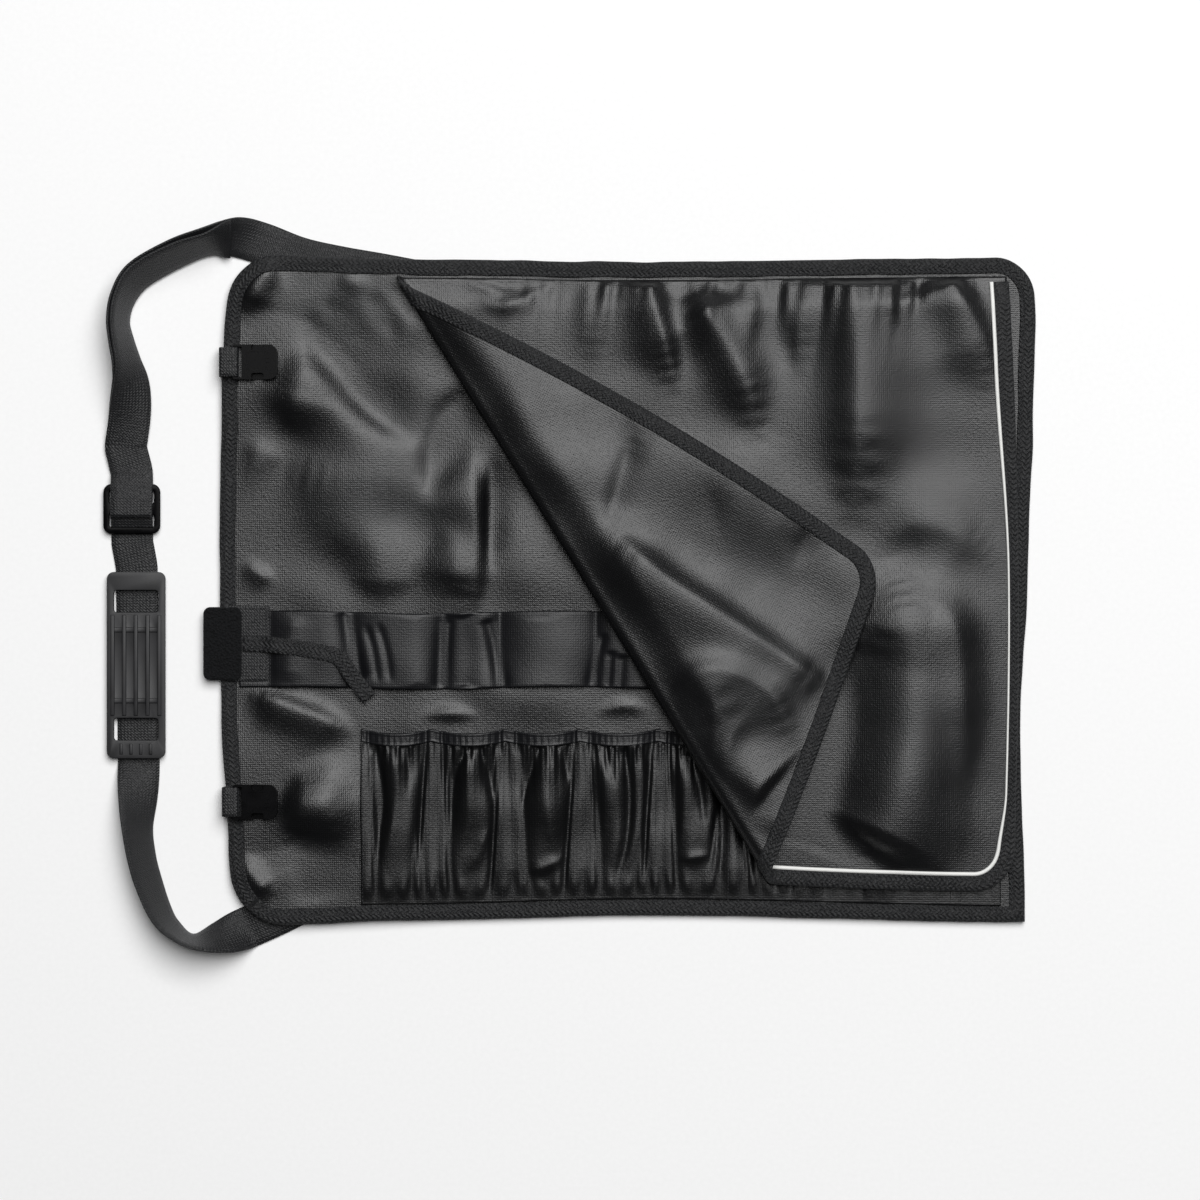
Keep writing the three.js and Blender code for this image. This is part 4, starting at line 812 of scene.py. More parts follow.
@dataclass(frozen=True)
class Textile:
    """A woven or looped finish, drawn from the thread spacing of the real cloth.

    Nylon and polyester threads are smooth, so the cloth is dark where it looks away from the light
    and catches a soft grey sheen where it is bent towards it. Its colour is painted darker between
    the threads and lighter on their tops, a painted shade and highlight of the weave over a random wear tone.
    """

    name: str
    colour: str
    # the colour painted on the thread tops as a highlight; the first colour goes to the gaps as painted shade
    lit_thread_colour: str
    weave: Weave
    pitch: float
    depth: float
    roughness: float
    sheen: float
    sheen_roughness: float = 0.4
    specular: float = 0.5
    mottle: float = 0.5
    wear_scale: float = 55.0
    grain_scale: float = 620.0
    grain_weight: float = 2.6
    yarn_drift: float = 0.0006

    def material(self) -> bpy.types.Material:
        """Make the material with its nodes.

        Returns:
            The new material.
        """
        made = bpy.data.materials.new(self.name)
        made.use_nodes = True
        tree = made.node_tree
        tree.nodes.clear()
        place = add_node(tree, "TexCoord").outputs["UV"]
        object_place = add_node(tree, "TexCoord").outputs["Object"]
        height = self.threads(tree, place)
        wear = add_node(tree, "TexNoise", {"Scale": self.wear_scale, "Detail": 5.0, "Roughness": 0.62},
                        Vector=object_place)
        grain = add_node(tree, "TexNoise", {"Scale": self.grain_scale, "Detail": 2.0, "Roughness": 0.55},
                         Vector=object_place)
        # random wear tone plus the threads' height: the gaps get painted shade and the thread tops a painted
        # highlight
        mixed = add_node(tree, "Math", {"operation": "MULTIPLY_ADD", 1: self.mottle},
                         in0=wear.outputs["Fac"], in2=height)
        wear_and_thread_shade = add_node(tree, "MapRange", {"From Min": 0.1, "From Max": 1.3}, Value=mixed.outputs[0])
        tones = {"data_type": "RGBA", 6: linear(self.colour), 7: linear(self.lit_thread_colour)}
        colour = add_node(tree, "Mix", tones, in0=wear_and_thread_shade.outputs[0])
        rough = add_node(tree, "MapRange", {"To Min": self.roughness - 0.06, "To Max": self.roughness + 0.08},
                         Value=wear.outputs["Fac"])
        fine = add_node(tree, "Math", {"operation": "MULTIPLY_ADD", 1: self.grain_weight},
                        in0=grain.outputs["Fac"], in2=height)
        bump = add_node(tree, "Bump", {"Strength": 1.0, "Distance": self.depth / 1000}, Height=fine.outputs[0])
        shader = add_node(tree, "BsdfPrincipled", {
            "Metallic": 0.0,
            "Specular IOR Level": self.specular,
            "Sheen Weight": self.sheen,
            "Sheen Roughness": self.sheen_roughness,
            "Sheen Tint": linear("#c9ccd2"),
        }, Base_Color=colour.outputs[2], Roughness=rough.outputs[0], Normal=bump.outputs["Normal"])
        add_node(tree, "OutputMaterial", None, Surface=shader.outputs[0])
        made.diffuse_color = linear(self.lit_thread_colour)
        return made

    def threads(self, tree: bpy.types.NodeTree, place: bpy.types.NodeSocket) -> bpy.types.NodeSocket:
        """Draw the height of the threads over the cloth, from 0 between them to 1 on them.

        Args:
            tree: The material's node tree.
            place: The cloth's own place, in metres.

        Returns:
            The socket that gives the height.
        """
        turns = 2 * math.pi * 1000 / self.pitch
        parts = add_node(tree, "SeparateXYZ", None, in0=place)
        jitter = add_node(tree, "TexNoise", {"Scale": 260.0, "Detail": 2.0}, Vector=place)
        across = add_node(tree, "Math", {"operation": "MULTIPLY_ADD", 1: self.yarn_drift},
                          in0=jitter.outputs["Fac"], in2=parts.outputs[0])
        up = add_node(tree, "Math", {"operation": "MULTIPLY_ADD", 1: self.yarn_drift},
                      in0=jitter.outputs["Fac"], in2=parts.outputs[1])
        if self.weave is Weave.PILE:
            loops = add_node(tree, "TexVoronoi", {"Scale": 1000 / self.pitch, "Randomness": 1.0}, Vector=place)
            round_tops = {"operation": "SUBTRACT", 0: 1.0}
            return add_node(tree, "Math", round_tops, in1=loops.outputs["Distance"]).outputs[0]
        if self.weave is Weave.TWILL:
            slant = add_node(tree, "Math", {"operation": "ADD"}, in0=across.outputs[0], in1=up.outputs[0])
            return self.wave(tree, slant.outputs[0], turns * 0.7071)
        if self.weave is Weave.HERRINGBONE:
            zigzag = add_node(tree, "Math", {"operation": "PINGPONG", 1: 0.0028}, in0=up.outputs[0])
            slant = add_node(tree, "Math", {"operation": "ADD"}, in0=across.outputs[0], in1=zigzag.outputs[0])
            return self.wave(tree, slant.outputs[0], turns * 0.7071)
        if self.weave is Weave.WEBBING:
            zigzag = add_node(tree, "Math", {"operation": "PINGPONG", 1: 0.0012}, in0=up.outputs[0])
            slant = add_node(tree, "Math", {"operation": "ADD"}, in0=across.outputs[0], in1=zigzag.outputs[0])
            return self.wave(tree, slant.outputs[0], turns)
        warp = self.wave(tree, across.outputs[0], turns)
        weft = self.wave(tree, up.outputs[0], turns)
        return add_node(tree, "Math", {"operation": "MULTIPLY"}, in0=warp, in1=weft).outputs[0]

    @staticmethod
    def wave(tree: bpy.types.NodeTree, place: bpy.types.NodeSocket, turns: float) -> bpy.types.NodeSocket:
        """Draw a row of round threads across a place: 0 between two, 1 on top of one."""
        angle = add_node(tree, "Math", {"operation": "MULTIPLY", 1: turns}, in0=place)
        sine = add_node(tree, "Math", {"operation": "SINE"}, in0=angle.outputs[0])
        halved = {"operation": "MULTIPLY_ADD", 1: 0.5, 2: 0.5}
        return add_node(tree, "Math", halved, in0=sine.outputs[0]).outputs[0]


@dataclass(frozen=True)
class Moulded:
    """A moulded plastic or rubber finish with the faint unevenness that a steel mould leaves."""

    name: str
    colour: str
    roughness: float
    specular: float
    grain: float
    depth: float

    def material(self) -> bpy.types.Material:
        """Make the material with its nodes.

        Returns:
            The new material.
        """
        made = bpy.data.materials.new(self.name)
        made.use_nodes = True
        tree = made.node_tree
        tree.nodes.clear()
        place = add_node(tree, "TexCoord").outputs["Object"]
        grit = add_node(tree, "TexNoise", {"Scale": 1000 / self.grain, "Detail": 4.0, "Roughness": 0.6},
                        Vector=place)
        flow = add_node(tree, "TexNoise", {"Scale": 70.0, "Detail": 3.0, "Distortion": 0.6}, Vector=place)
        tone = add_node(tree, "MapRange", {"From Min": 0.3, "From Max": 0.75, "To Min": 0.7, "To Max": 1.35},
                        Value=flow.outputs["Fac"])
        colour = add_node(tree, "VectorMath", {"operation": "SCALE", 0: linear(self.colour)[:3]},
                          Scale=tone.outputs[0])
        rough = add_node(tree, "MapRange", {"To Min": self.roughness - 0.08, "To Max": self.roughness + 0.1},
                         Value=flow.outputs["Fac"])
        bump = add_node(tree, "Bump", {"Strength": 0.6, "Distance": self.depth / 1000},
                        Height=grit.outputs["Fac"])
        shader = add_node(tree, "BsdfPrincipled", {
            "Metallic": 0.0,
            "Specular IOR Level": self.specular,
        }, Base_Color=colour.outputs[0], Roughness=rough.outputs[0], Normal=bump.outputs["Normal"])
        add_node(tree, "OutputMaterial", None, Surface=shader.outputs[0])
        made.diffuse_color = linear(self.colour)
        return made


# Nylon pack cloth, plain woven from 0.4 mm yarn and drawn at 1.5 mm so that the weave shows
PACK_CLOTH = Textile("woven_nylon_pack_cloth", "#040405", "#0c0d0f", Weave.PLAIN, 1.5, 0.085, 0.33, 0.01)
# The flap's lining side of the same cloth, its coating calendered; drawn at 1.5 mm too
LINING_CLOTH = Textile("calendered_nylon_lining", "#040405", "#0d0e10", Weave.PLAIN, 1.5, 0.085, 0.35, 0.01)
# Thin pocket cloth, plain woven and soft, which creases sharply where it is gathered; drawn at 1.4 mm
POCKET_CLOTH = Textile("soft_nylon_pocket_cloth", "#040405", "#0b0c0d", Weave.PLAIN, 1.4, 0.070, 0.36, 0.01,
                       specular=0.4)
# Herringbone tape of dull spun polyester, whose zigzag rows are drawn 2.6 mm apart so that they show
EDGE_TAPE = Textile("herringbone_polyester_tape", "#050506", "#1a1b1d", Weave.HERRINGBONE, 2.6, 0.45, 0.58,
                    0.06, specular=0.42)
# Knitted elastic, close and smooth, so only a faint knit shows, drawn at 1.7 mm
KNIT_ELASTIC = Textile("knitted_rubber_elastic", "#07070a", "#141518", Weave.PLAIN, 1.7, 0.07, 0.42, 0.05,
                       specular=0.4)
# Nylon webbing woven in a close chevron, its yarns about 2 mm apart, with a soft shine
NYLON_WEBBING = Textile("woven_nylon_webbing", "#08080a", "#18191b", Weave.WEBBING, 2.0, 0.20, 0.48, 0.08,
                        specular=0.42)
# Loop side of a hook-and-loop closure: crimped nylon loops 1.6 mm apart, dull and nearly black
LOOP_PILE = Textile("crimped_nylon_loop_pile", "#040405", "#131416", Weave.PILE, 1.6, 0.8, 0.8, 0.08,
                    specular=0.2)
# White satin-woven cord cover, soft and almost without a highlight
WHITE_PIPING = Textile("white_satin_piping_tape", "#d6d6d3", "#f4f4f1", Weave.TWILL, 0.9, 0.08, 0.5, 0.1)
# Bonded polyester sewing thread, twisted and waxed, a little lighter than the cloth
SEWING_THREAD = Textile("bonded_polyester_thread", "#0c0c0e", "#232427", Weave.TWILL, 0.5, 0.05, 0.45, 0.1)
# Acetal, injection moulded with a fine grain of 0.3 mm: deep black, and it hardly catches the light, so its
# specular level is set below the usual one
ACETAL = Moulded("injection_moulded_acetal", "#040405", 0.28, 0.06, 0.30, 0.02)
# Thermoplastic rubber, moulded with a dull surface that scatters light to a dark grey
RUBBER = Moulded("dull_moulded_rubber", "#1d1d1f", 0.5, 0.45, 0.6, 0.06)


class Finishes:
    """Holds one material for each finish and puts it on pieces."""

    def __init__(self) -> None:
        """Start with no material made."""
        self.made: dict[str, bpy.types.Material] = {}

    def put(self, piece: bpy.types.Object, finish: Textile | Moulded, slot: str) -> bpy.types.Object:
        """Dress a piece in one finish.

        Args:
            piece: The piece to dress.
            finish: The finish.
            slot: The record's slot that the finish belongs to; it is not used.

        Returns:
            The same piece, riding on the roll.
        """
        if finish.name not in self.made:
            self.made[finish.name] = finish.material()
        piece.data.materials.clear()
        piece.data.materials.append(self.made[finish.name])
        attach(piece, "root")
        faces = sum(len(face.vertices) - 2 for face in piece.data.polygons)
        log.info("%s: %d triangles, %s", piece.name, faces, finish.name)
        return piece


# ---------------------------------------------------------------- the cloth pieces


def even_net(columns: int, rows: int) -> tuple[Grid, Grid]:
    """Give the shares of an even net, each as rows by columns."""
    return np.meshgrid(np.linspace(0, 1, columns + 1), np.linspace(0, 1, rows + 1))


def ways_in(line: Grid, loop: bool) -> Grid:
    """Give the way inwards at each point of a line that runs anticlockwise, mitred where it turns.

    Args:
        line: The line's points in plan.
        loop: Whether the line is closed.

    Returns:
        One way for each point.
    """
    after = np.roll(line, -1, axis=0) - line
    before = line - np.roll(line, 1, axis=0)
    if not loop:
        after[-1] = before[-1]
        before[0] = after[0]
    first, second = (
        np.stack([-step[:, 1], step[:, 0]], axis=-1) / np.linalg.norm(step, axis=-1, keepdims=True)
        for step in (before, after)
    )
    return (first + second) / (1 + (first * second).sum(axis=-1, keepdims=True))


@dataclass(frozen=True)
class TapeSection:
    """The folded section of an edge tape: how far in from the edge and how high, from its lower lip round."""

    width: float
    cloth: float
    gap: float
    wall: float
    out: float = 0.0

    def points(self) -> list[Point]:
        """Give the section's points, the outer line first and the inner one back."""
        top, low = self.cloth + self.gap, -self.gap
        w, t = self.width, self.wall
        outer = [
            (w, low - t * 0.5), (w - 0.7, low - t * 0.95), (w - 2.0, low - t * 0.6), (w - 3.3, low - t),
            (w * 0.4, low - t), (1.6, low - t * 0.95), (0.35, low - t * 0.3), (0.0, self.cloth / 2),
            (0.35, top + t * 0.3), (1.6, top + t * 0.95), (w * 0.4, top + t), (w - 3.3, top + t),
            (w - 2.0, top + t * 0.6), (w - 0.7, top + t * 0.95), (w, top + t * 0.5),
        ]
        inner = [
            (w - 0.05, top + 0.02), (w - 0.7, top + 0.02), (w - 2.0, top + 0.02), (w - 3.3, top + 0.02),
            (w * 0.4, top + 0.02), (2.0, top), (1.1, top - 0.1), (0.9, self.cloth / 2), (1.1, low + 0.1),
            (2.0, low), (w * 0.4, low - 0.02), (w - 3.3, low - 0.02), (w - 2.0, low - 0.02),
            (w - 0.7, low - 0.02), (w - 0.05, low - 0.02),
        ]
        return [(inward - self.out, height) for inward, height in outer + inner]


@dataclass
class BackPanel:
    """The roll's panel of pack cloth, laid flat, with the tape folded over its edge."""

    finishes: Finishes
    columns: int = 236
    rows: int = 196
    tape_step: float = 3.4
    section: TapeSection = TapeSection(PLAN.binding, PLAN.panel, 0.25, 1.05)
    stitch: Stitch = Stitch()

    def build(self) -> None:
        """Build the panel, its tape and the tape's stitches."""
        a, b = even_net(self.columns, self.rows)
        x, y = PLAN.outline(a, b, PLAN.edge_level)
        upper = np.stack([x, y, PLAN.panel_top(x, y)], axis=-1)
        marks = np.stack([x, y], axis=-1)
        panel = two_faced("panel_cloth", upper, beneath(upper, PLAN.panel), marks)
        self.finishes.put(panel, PACK_CLOTH, "canvas")
        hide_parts("back_panel")
        tape = self.tape()

    def tape(self) -> bpy.types.Object:
        """Fold the tape over the panel's edge and sew it down.

        Returns:
            The tape.
        """
        share = np.linspace(0, 1, 400, endpoint=False)
        sides = [(share, 0 * share), (0 * share + 1, share), (1 - share, 0 * share + 1), (0 * share, 1 - share)]
        corners = np.concatenate([np.stack(PLAN.outline(p, q, 0.0), axis=-1) for p, q in sides])
        line = spread(np.concatenate([corners, corners[:1]]), self.tape_step)[:-1]
        ways = ways_in(line, True)
        rings = []
        for inward, height in self.section.points():
            point = line + ways * inward
            uneven = EDGE_RIPPLES.raise_at(point[:, 0], point[:, 1])
            level = PLAN.panel_bottom(point[:, 0], point[:, 1]) + height + uneven * (height > 0)
            rings.append(np.column_stack([point + ways * uneven[:, None] * 0.8, np.maximum(level, 0.02)]))
        tape = lofted("edge_tape", np.stack(rings, axis=1), True)
        self.finishes.put(tape, EDGE_TAPE, "twill")
        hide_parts("edge_binding")
        seam = line + ways * (self.section.width - 2.0)
        uneven = EDGE_RIPPLES.raise_at(seam[:, 0], seam[:, 1])
        top = PLAN.panel_top(seam[:, 0], seam[:, 1]) + self.section.gap + self.section.wall * 0.6 + uneven
        thread = self.stitch.sew("edge_tape_stitches", [facing_up(np.column_stack([seam, top]))])
        self.finishes.put(thread, SEWING_THREAD, "twill")
        return tape


@dataclass
class KnifeBand:
    """The elastic band across the panel, sewn down in lines and slack between them."""

    finishes: Finishes
    rise: float = 6.3
    shares: tuple[float, ...] = (0.88, 0.95, 0.9, 1, 1, 1, 1, 1, 1)
    columns: int = 420
    rows: int = 44
    stitch: Stitch = Stitch(2.0, 2.8, 0.5)

    def stand(self, x: Grid, y: Grid) -> Grid:
        """Give how high the band's underside stands over the panel."""
        height = np.zeros(np.shape(x))
        seams = [seam * PLAN.width for seam in PLAN.band_seams]
        for from_x, to_x, share in zip(seams, seams[1:], self.shares):
            off = np.clip(np.abs(2 * (x - from_x) / (to_x - from_x) - 1), 0, 1)
            height = height + self.rise * share * (1 - off ** 2.6) * PLAN.pressed(x)
        slack = folds_at(BAND_FOLDS, x, y)
        return soft_max(height + slack * smooth(0, 2.5, height), 0.0 * x, 1.2)

    def top(self, x: Grid, y: Grid) -> Grid:
        """Give the height of the band's upper face."""
        return PLAN.panel_top(x, y) + PLAN.clearance + self.stand(x, y) + PLAN.elastic

    def build(self) -> None:
        """Build the band and the lines of stitches across it."""
        a, b = even_net(self.columns, self.rows)
        left, right = PLAN.band_start * PLAN.width, PLAN.row_end * PLAN.width
        x = blend(left, right, a)
        bend = 1.0 * np.sin(x / 31.0) * np.abs(2 * b - 1)
        y = PLAN.band_top - PLAN.band_width * (1 - b) + bend
        upper = np.stack([x, y, self.top(x, y)], axis=-1)
        lip = np.clip(np.minimum(b, 1 - b) * PLAN.band_width / 1.2, 0, 1)
        upper[..., 2] -= 0.45 * (1 - lip) ** 2
        band = two_faced("elastic_band", upper, beneath(upper, PLAN.elastic), np.stack([x, y], axis=-1))
        self.finishes.put(band, KNIT_ELASTIC, "elastic")
        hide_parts("knife_band")
        lines = []
        for seam in PLAN.band_seams:
            for aside in (-0.8, 0.8):
                up = np.linspace(PLAN.band_top - PLAN.band_width + 1.5, PLAN.band_top - 1.5, 20)
                along = np.full(20, seam * PLAN.width + aside)
                lines.append(facing_up(np.column_stack([along, up, self.top(along, up)])))
        thread = self.stitch.sew("band_stitches", lines)
        self.finishes.put(thread, SEWING_THREAD, "elastic")


@dataclass
class PocketRow:
    """The row of gathered pockets and the elastic hem that draws in their mouths."""

    finishes: Finishes
    cloth: float = 0.9
    fullness: float = 1.25
    rise: float = 6.4
    strip: float = 2.0
    hem_sag: float = 3.2
    columns: int = 470
    rows: int = 96
    stitch: Stitch = Stitch(2.0, 2.8, 0.5)

    def floor(self, x: Grid) -> Grid:
        """Give the place up the panel where the pockets are sewn into the edge."""
        return PLAN.bottom(x) + PLAN.binding + PLAN.clearance

    def mouth(self, x: Grid) -> Grid:
        """Give the place up the panel of the pockets' upper edge, which sags between the seams."""
        seams = np.array(PLAN.pocket_seams) * PLAN.width
        slot = np.clip(np.searchsorted(seams, x), 1, len(seams) - 1)
        share = np.clip((x - seams[slot - 1]) / (seams[slot] - seams[slot - 1]), 0, 1)
        return PLAN.hem_bottom - self.hem_sag * (1 - (2 * share - 1) ** 2) + 1.2

    def stand(self, x: Grid, y: Grid) -> Grid:
        """Give how high the pockets' underside stands over the panel, without the small gathers."""
        height = np.zeros(np.shape(x))
        share = np.clip((y - self.floor(x)) / (PLAN.hem_bottom - self.floor(x)), 0, 1)
        drop = 1 - share
        seams = [seam * PLAN.width for seam in PLAN.pocket_seams]
        full = 1 - drop ** 3
        for number, (from_x, to_x) in enumerate(zip(seams, seams[1:])):
            fold_edge = from_x + (7.5 if number else 5.0) + 5.0 * drop
            valley = to_x - 4.0 - 8.0 * drop
            middle, half = (fold_edge + valley) / 2, (valley - fold_edge) / 2
            puff = np.clip(1 - np.abs((x - middle) / half) ** 2.4, 0, 1)
            lean = 1 + 0.12 * (x - middle) / half
            height = height + self.rise * full * puff * lean * PLAN.pressed(x)
            flat = smooth(0.2, 2.2, x - from_x + 4 + 8 * drop * (number > 0))
            flat = flat * (1 - smooth(-1.6, 0.0, x - fold_edge))
            height = height + self.strip * np.minimum(full * 2, 1) * flat
        return height

    def lines(self, x: Grid, y: Grid) -> Grid:
        """Give the heights of the small gathers under the hem and of the slack cloth's creases."""
        below = np.clip(self.mouth(x) - y, 0, None)
        chance = np.random.default_rng(5)
        gather = np.zeros(np.shape(x))
        for _ in range(5):
            length = chance.uniform(4.2, 9.5)
            gather = gather + np.sin(2 * math.pi * x / length + chance.uniform(0, 6.3) + 0.02 * y)
        gather = 0.42 * gather * np.exp(-below / 11.0) * smooth(0, 2.5, below)
        foot = 0.5 * np.sin(2 * math.pi * x / 7.3 + 2 * np.sin(x / 17)) * np.exp(-(y - self.floor(x)) / 7.0)
        return gather + foot + POCKET_RIPPLES.raise_at(x, y) * 0.8

    def top(self, x: Grid, y: Grid, thickness: float) -> Grid:
        """Give the height of the pockets' upper face."""
        stand = self.stand(x, y)
        loose = smooth(0.4, 3.0, stand)
        slack = folds_at(POCKET_FOLDS, x, y) + self.lines(x, y)
        height = soft_max(stand + slack * loose, 0.0 * x, 1.6) + self.bunched(x, y) * (1 - loose)
        return PLAN.panel_top(x, y) + PLAN.clearance + height + thickness

    def bunched(self, x: Grid, y: Grid) -> Grid:
        """Give the heights of the small creases of the cloth that is bunched up between two pockets."""
        below = smooth(0, 12, self.mouth(x) - y) * smooth(2, 14, y - self.floor(x))
        wave = np.sin(2 * math.pi * x / 12.5 + 1.6 * np.sin(x / 23) + 1.1 * np.sin(y / 26 + x / 13))
        return 0.9 * (1 + wave) * below * PLAN.pressed(x)

    def build(self) -> None:
        """Build the pocket cloth, its hem and the seams between the pockets."""
        a, b = even_net(self.columns, self.rows)
        left, right = PLAN.pocket_seams[0] * PLAN.width, PLAN.row_end * PLAN.width
        x = blend(left, right, a)
        y = blend(self.floor(x), self.mouth(x), b)
        upper = np.stack([x, y, self.top(x, y, self.cloth)], axis=-1)
        marks = np.stack([x * self.fullness, y], axis=-1)
        cloth = two_faced("pocket_cloth", upper, beneath(upper, self.cloth), marks)
        self.finishes.put(cloth, POCKET_CLOTH, "canvas")
        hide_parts(*[f"pocket_panel_{number}" for number in range(1, 9)])
        hem = self.hem(left, right)
        seams = self.seams()

    def hem(self, left: float, right: float) -> bpy.types.Object:
        """Build the elastic hem along the pockets' mouths.

        Args:
            left: Where it begins.
            right: Where it ends.

        Returns:
            The hem.
        """
        a, b = even_net(self.columns, 12)
        x = blend(left, right, a)
        y = self.mouth(x) - 1.2 + b * PLAN.hem_width
        over = np.minimum(y, PLAN.hem_bottom)
        lip = np.abs(2 * b - 1)
        roll = 0.55 * np.exp(-((lip - 0.8) / 0.12) ** 2) - 1.1 * np.clip((lip - 0.9) / 0.1, 0, 1) ** 2
        pucker = 0.28 * np.sin(2 * math.pi * x / 4.6 + 3 * np.sin(x / 23)) * (1 - lip)
        base = PLAN.panel_top(x, y) + PLAN.clearance + np.maximum(self.stand(x, over), 0.0)
        upper = np.stack([x, y, base + 1.7 + roll + pucker], axis=-1)
        hem = two_faced("pocket_hem", upper, beneath(upper, 1.5), np.stack([x, y], axis=-1))
        self.finishes.put(hem, KNIT_ELASTIC, "elastic")
        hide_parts(*[f"pocket_hem_{number}" for number in range(1, 9)])
        return hem

    def seams(self) -> bpy.types.Object:
        """Sew the lines that part the pockets: a double line at each seam but the first, which has one.

        Returns:
            The stitches.
        """
        lines = []
        for number, seam in enumerate(PLAN.pocket_seams):
            for aside in (-1.0, 4.0) if number else (1.0,):
                up = np.linspace(PLAN.binding + 3, PLAN.hem_bottom - 4, 60)
                drop = 1 - (up - PLAN.binding) / (PLAN.hem_bottom - PLAN.binding)
                lean = (-1.5 if number else 0.0) + (2.5 if aside > 2 else 0.0)
                along = seam * PLAN.width + aside + lean * drop
                lines.append(facing_up(np.column_stack([along, up, self.top(along, up, self.cloth + 0.05)])))
        thread = self.stitch.sew("pocket_stitches", lines)
        return self.finishes.put(thread, SEWING_THREAD, "canvas")


class Bridged:
    """The height at which stretched cloth lies over uneven things: their highest points, joined smoothly."""

    spreading: int = 7
    evening: int = 80

    def __init__(
        self, height: Callable[[Grid, Grid], Grid], low: Point, high: Point, step: float = 3.0,
    ) -> None:
        """Measure the things on a square net.

        Args:
            height: Gives their height at points.
            low: The net's lowest corner.
            high: Its highest corner.
            step: The spacing of its points.
        """
        self.low, self.step = low, step
        x, y = np.meshgrid(np.arange(low[0], high[0], step), np.arange(low[1], high[1], step), indexing="ij")
        net = height(x, y)
        for _ in range(self.spreading):
            net = self.beside(net, np.maximum)
        for _ in range(self.evening):
            net = self.beside(net, lambda one, other: (one + other) / 2)
        self.net = net

    @staticmethod
    def beside(net: Grid, join: Callable[[Grid, Grid], Grid]) -> Grid:
        """Join each point of the net with its neighbours, one way and then the other."""
        for axis in (0, 1):
            first = np.take(net, np.maximum(np.arange(net.shape[axis]) - 1, 0), axis)
            last = np.take(net, np.minimum(np.arange(net.shape[axis]) + 1, net.shape[axis] - 1), axis)
            net = join(net, join(first, last))
        return net

    def at(self, x: Grid, y: Grid) -> Grid:
        """Give the height at any points.

        Args:
            x: Places along the roll.
            y: Places up the roll.

        Returns:
            The heights.
        """
        a = np.clip((x - self.low[0]) / self.step, 0, self.net.shape[0] - 1.001)
        b = np.clip((y - self.low[1]) / self.step, 0, self.net.shape[1] - 1.001)
        i, j = a.astype(int), b.astype(int)
        net = self.net
        lower = blend(net[i, j], net[i + 1, j], a - i)
        upper = blend(net[i, j + 1], net[i + 1, j + 1], a - i)
        return blend(lower, upper, b - j)


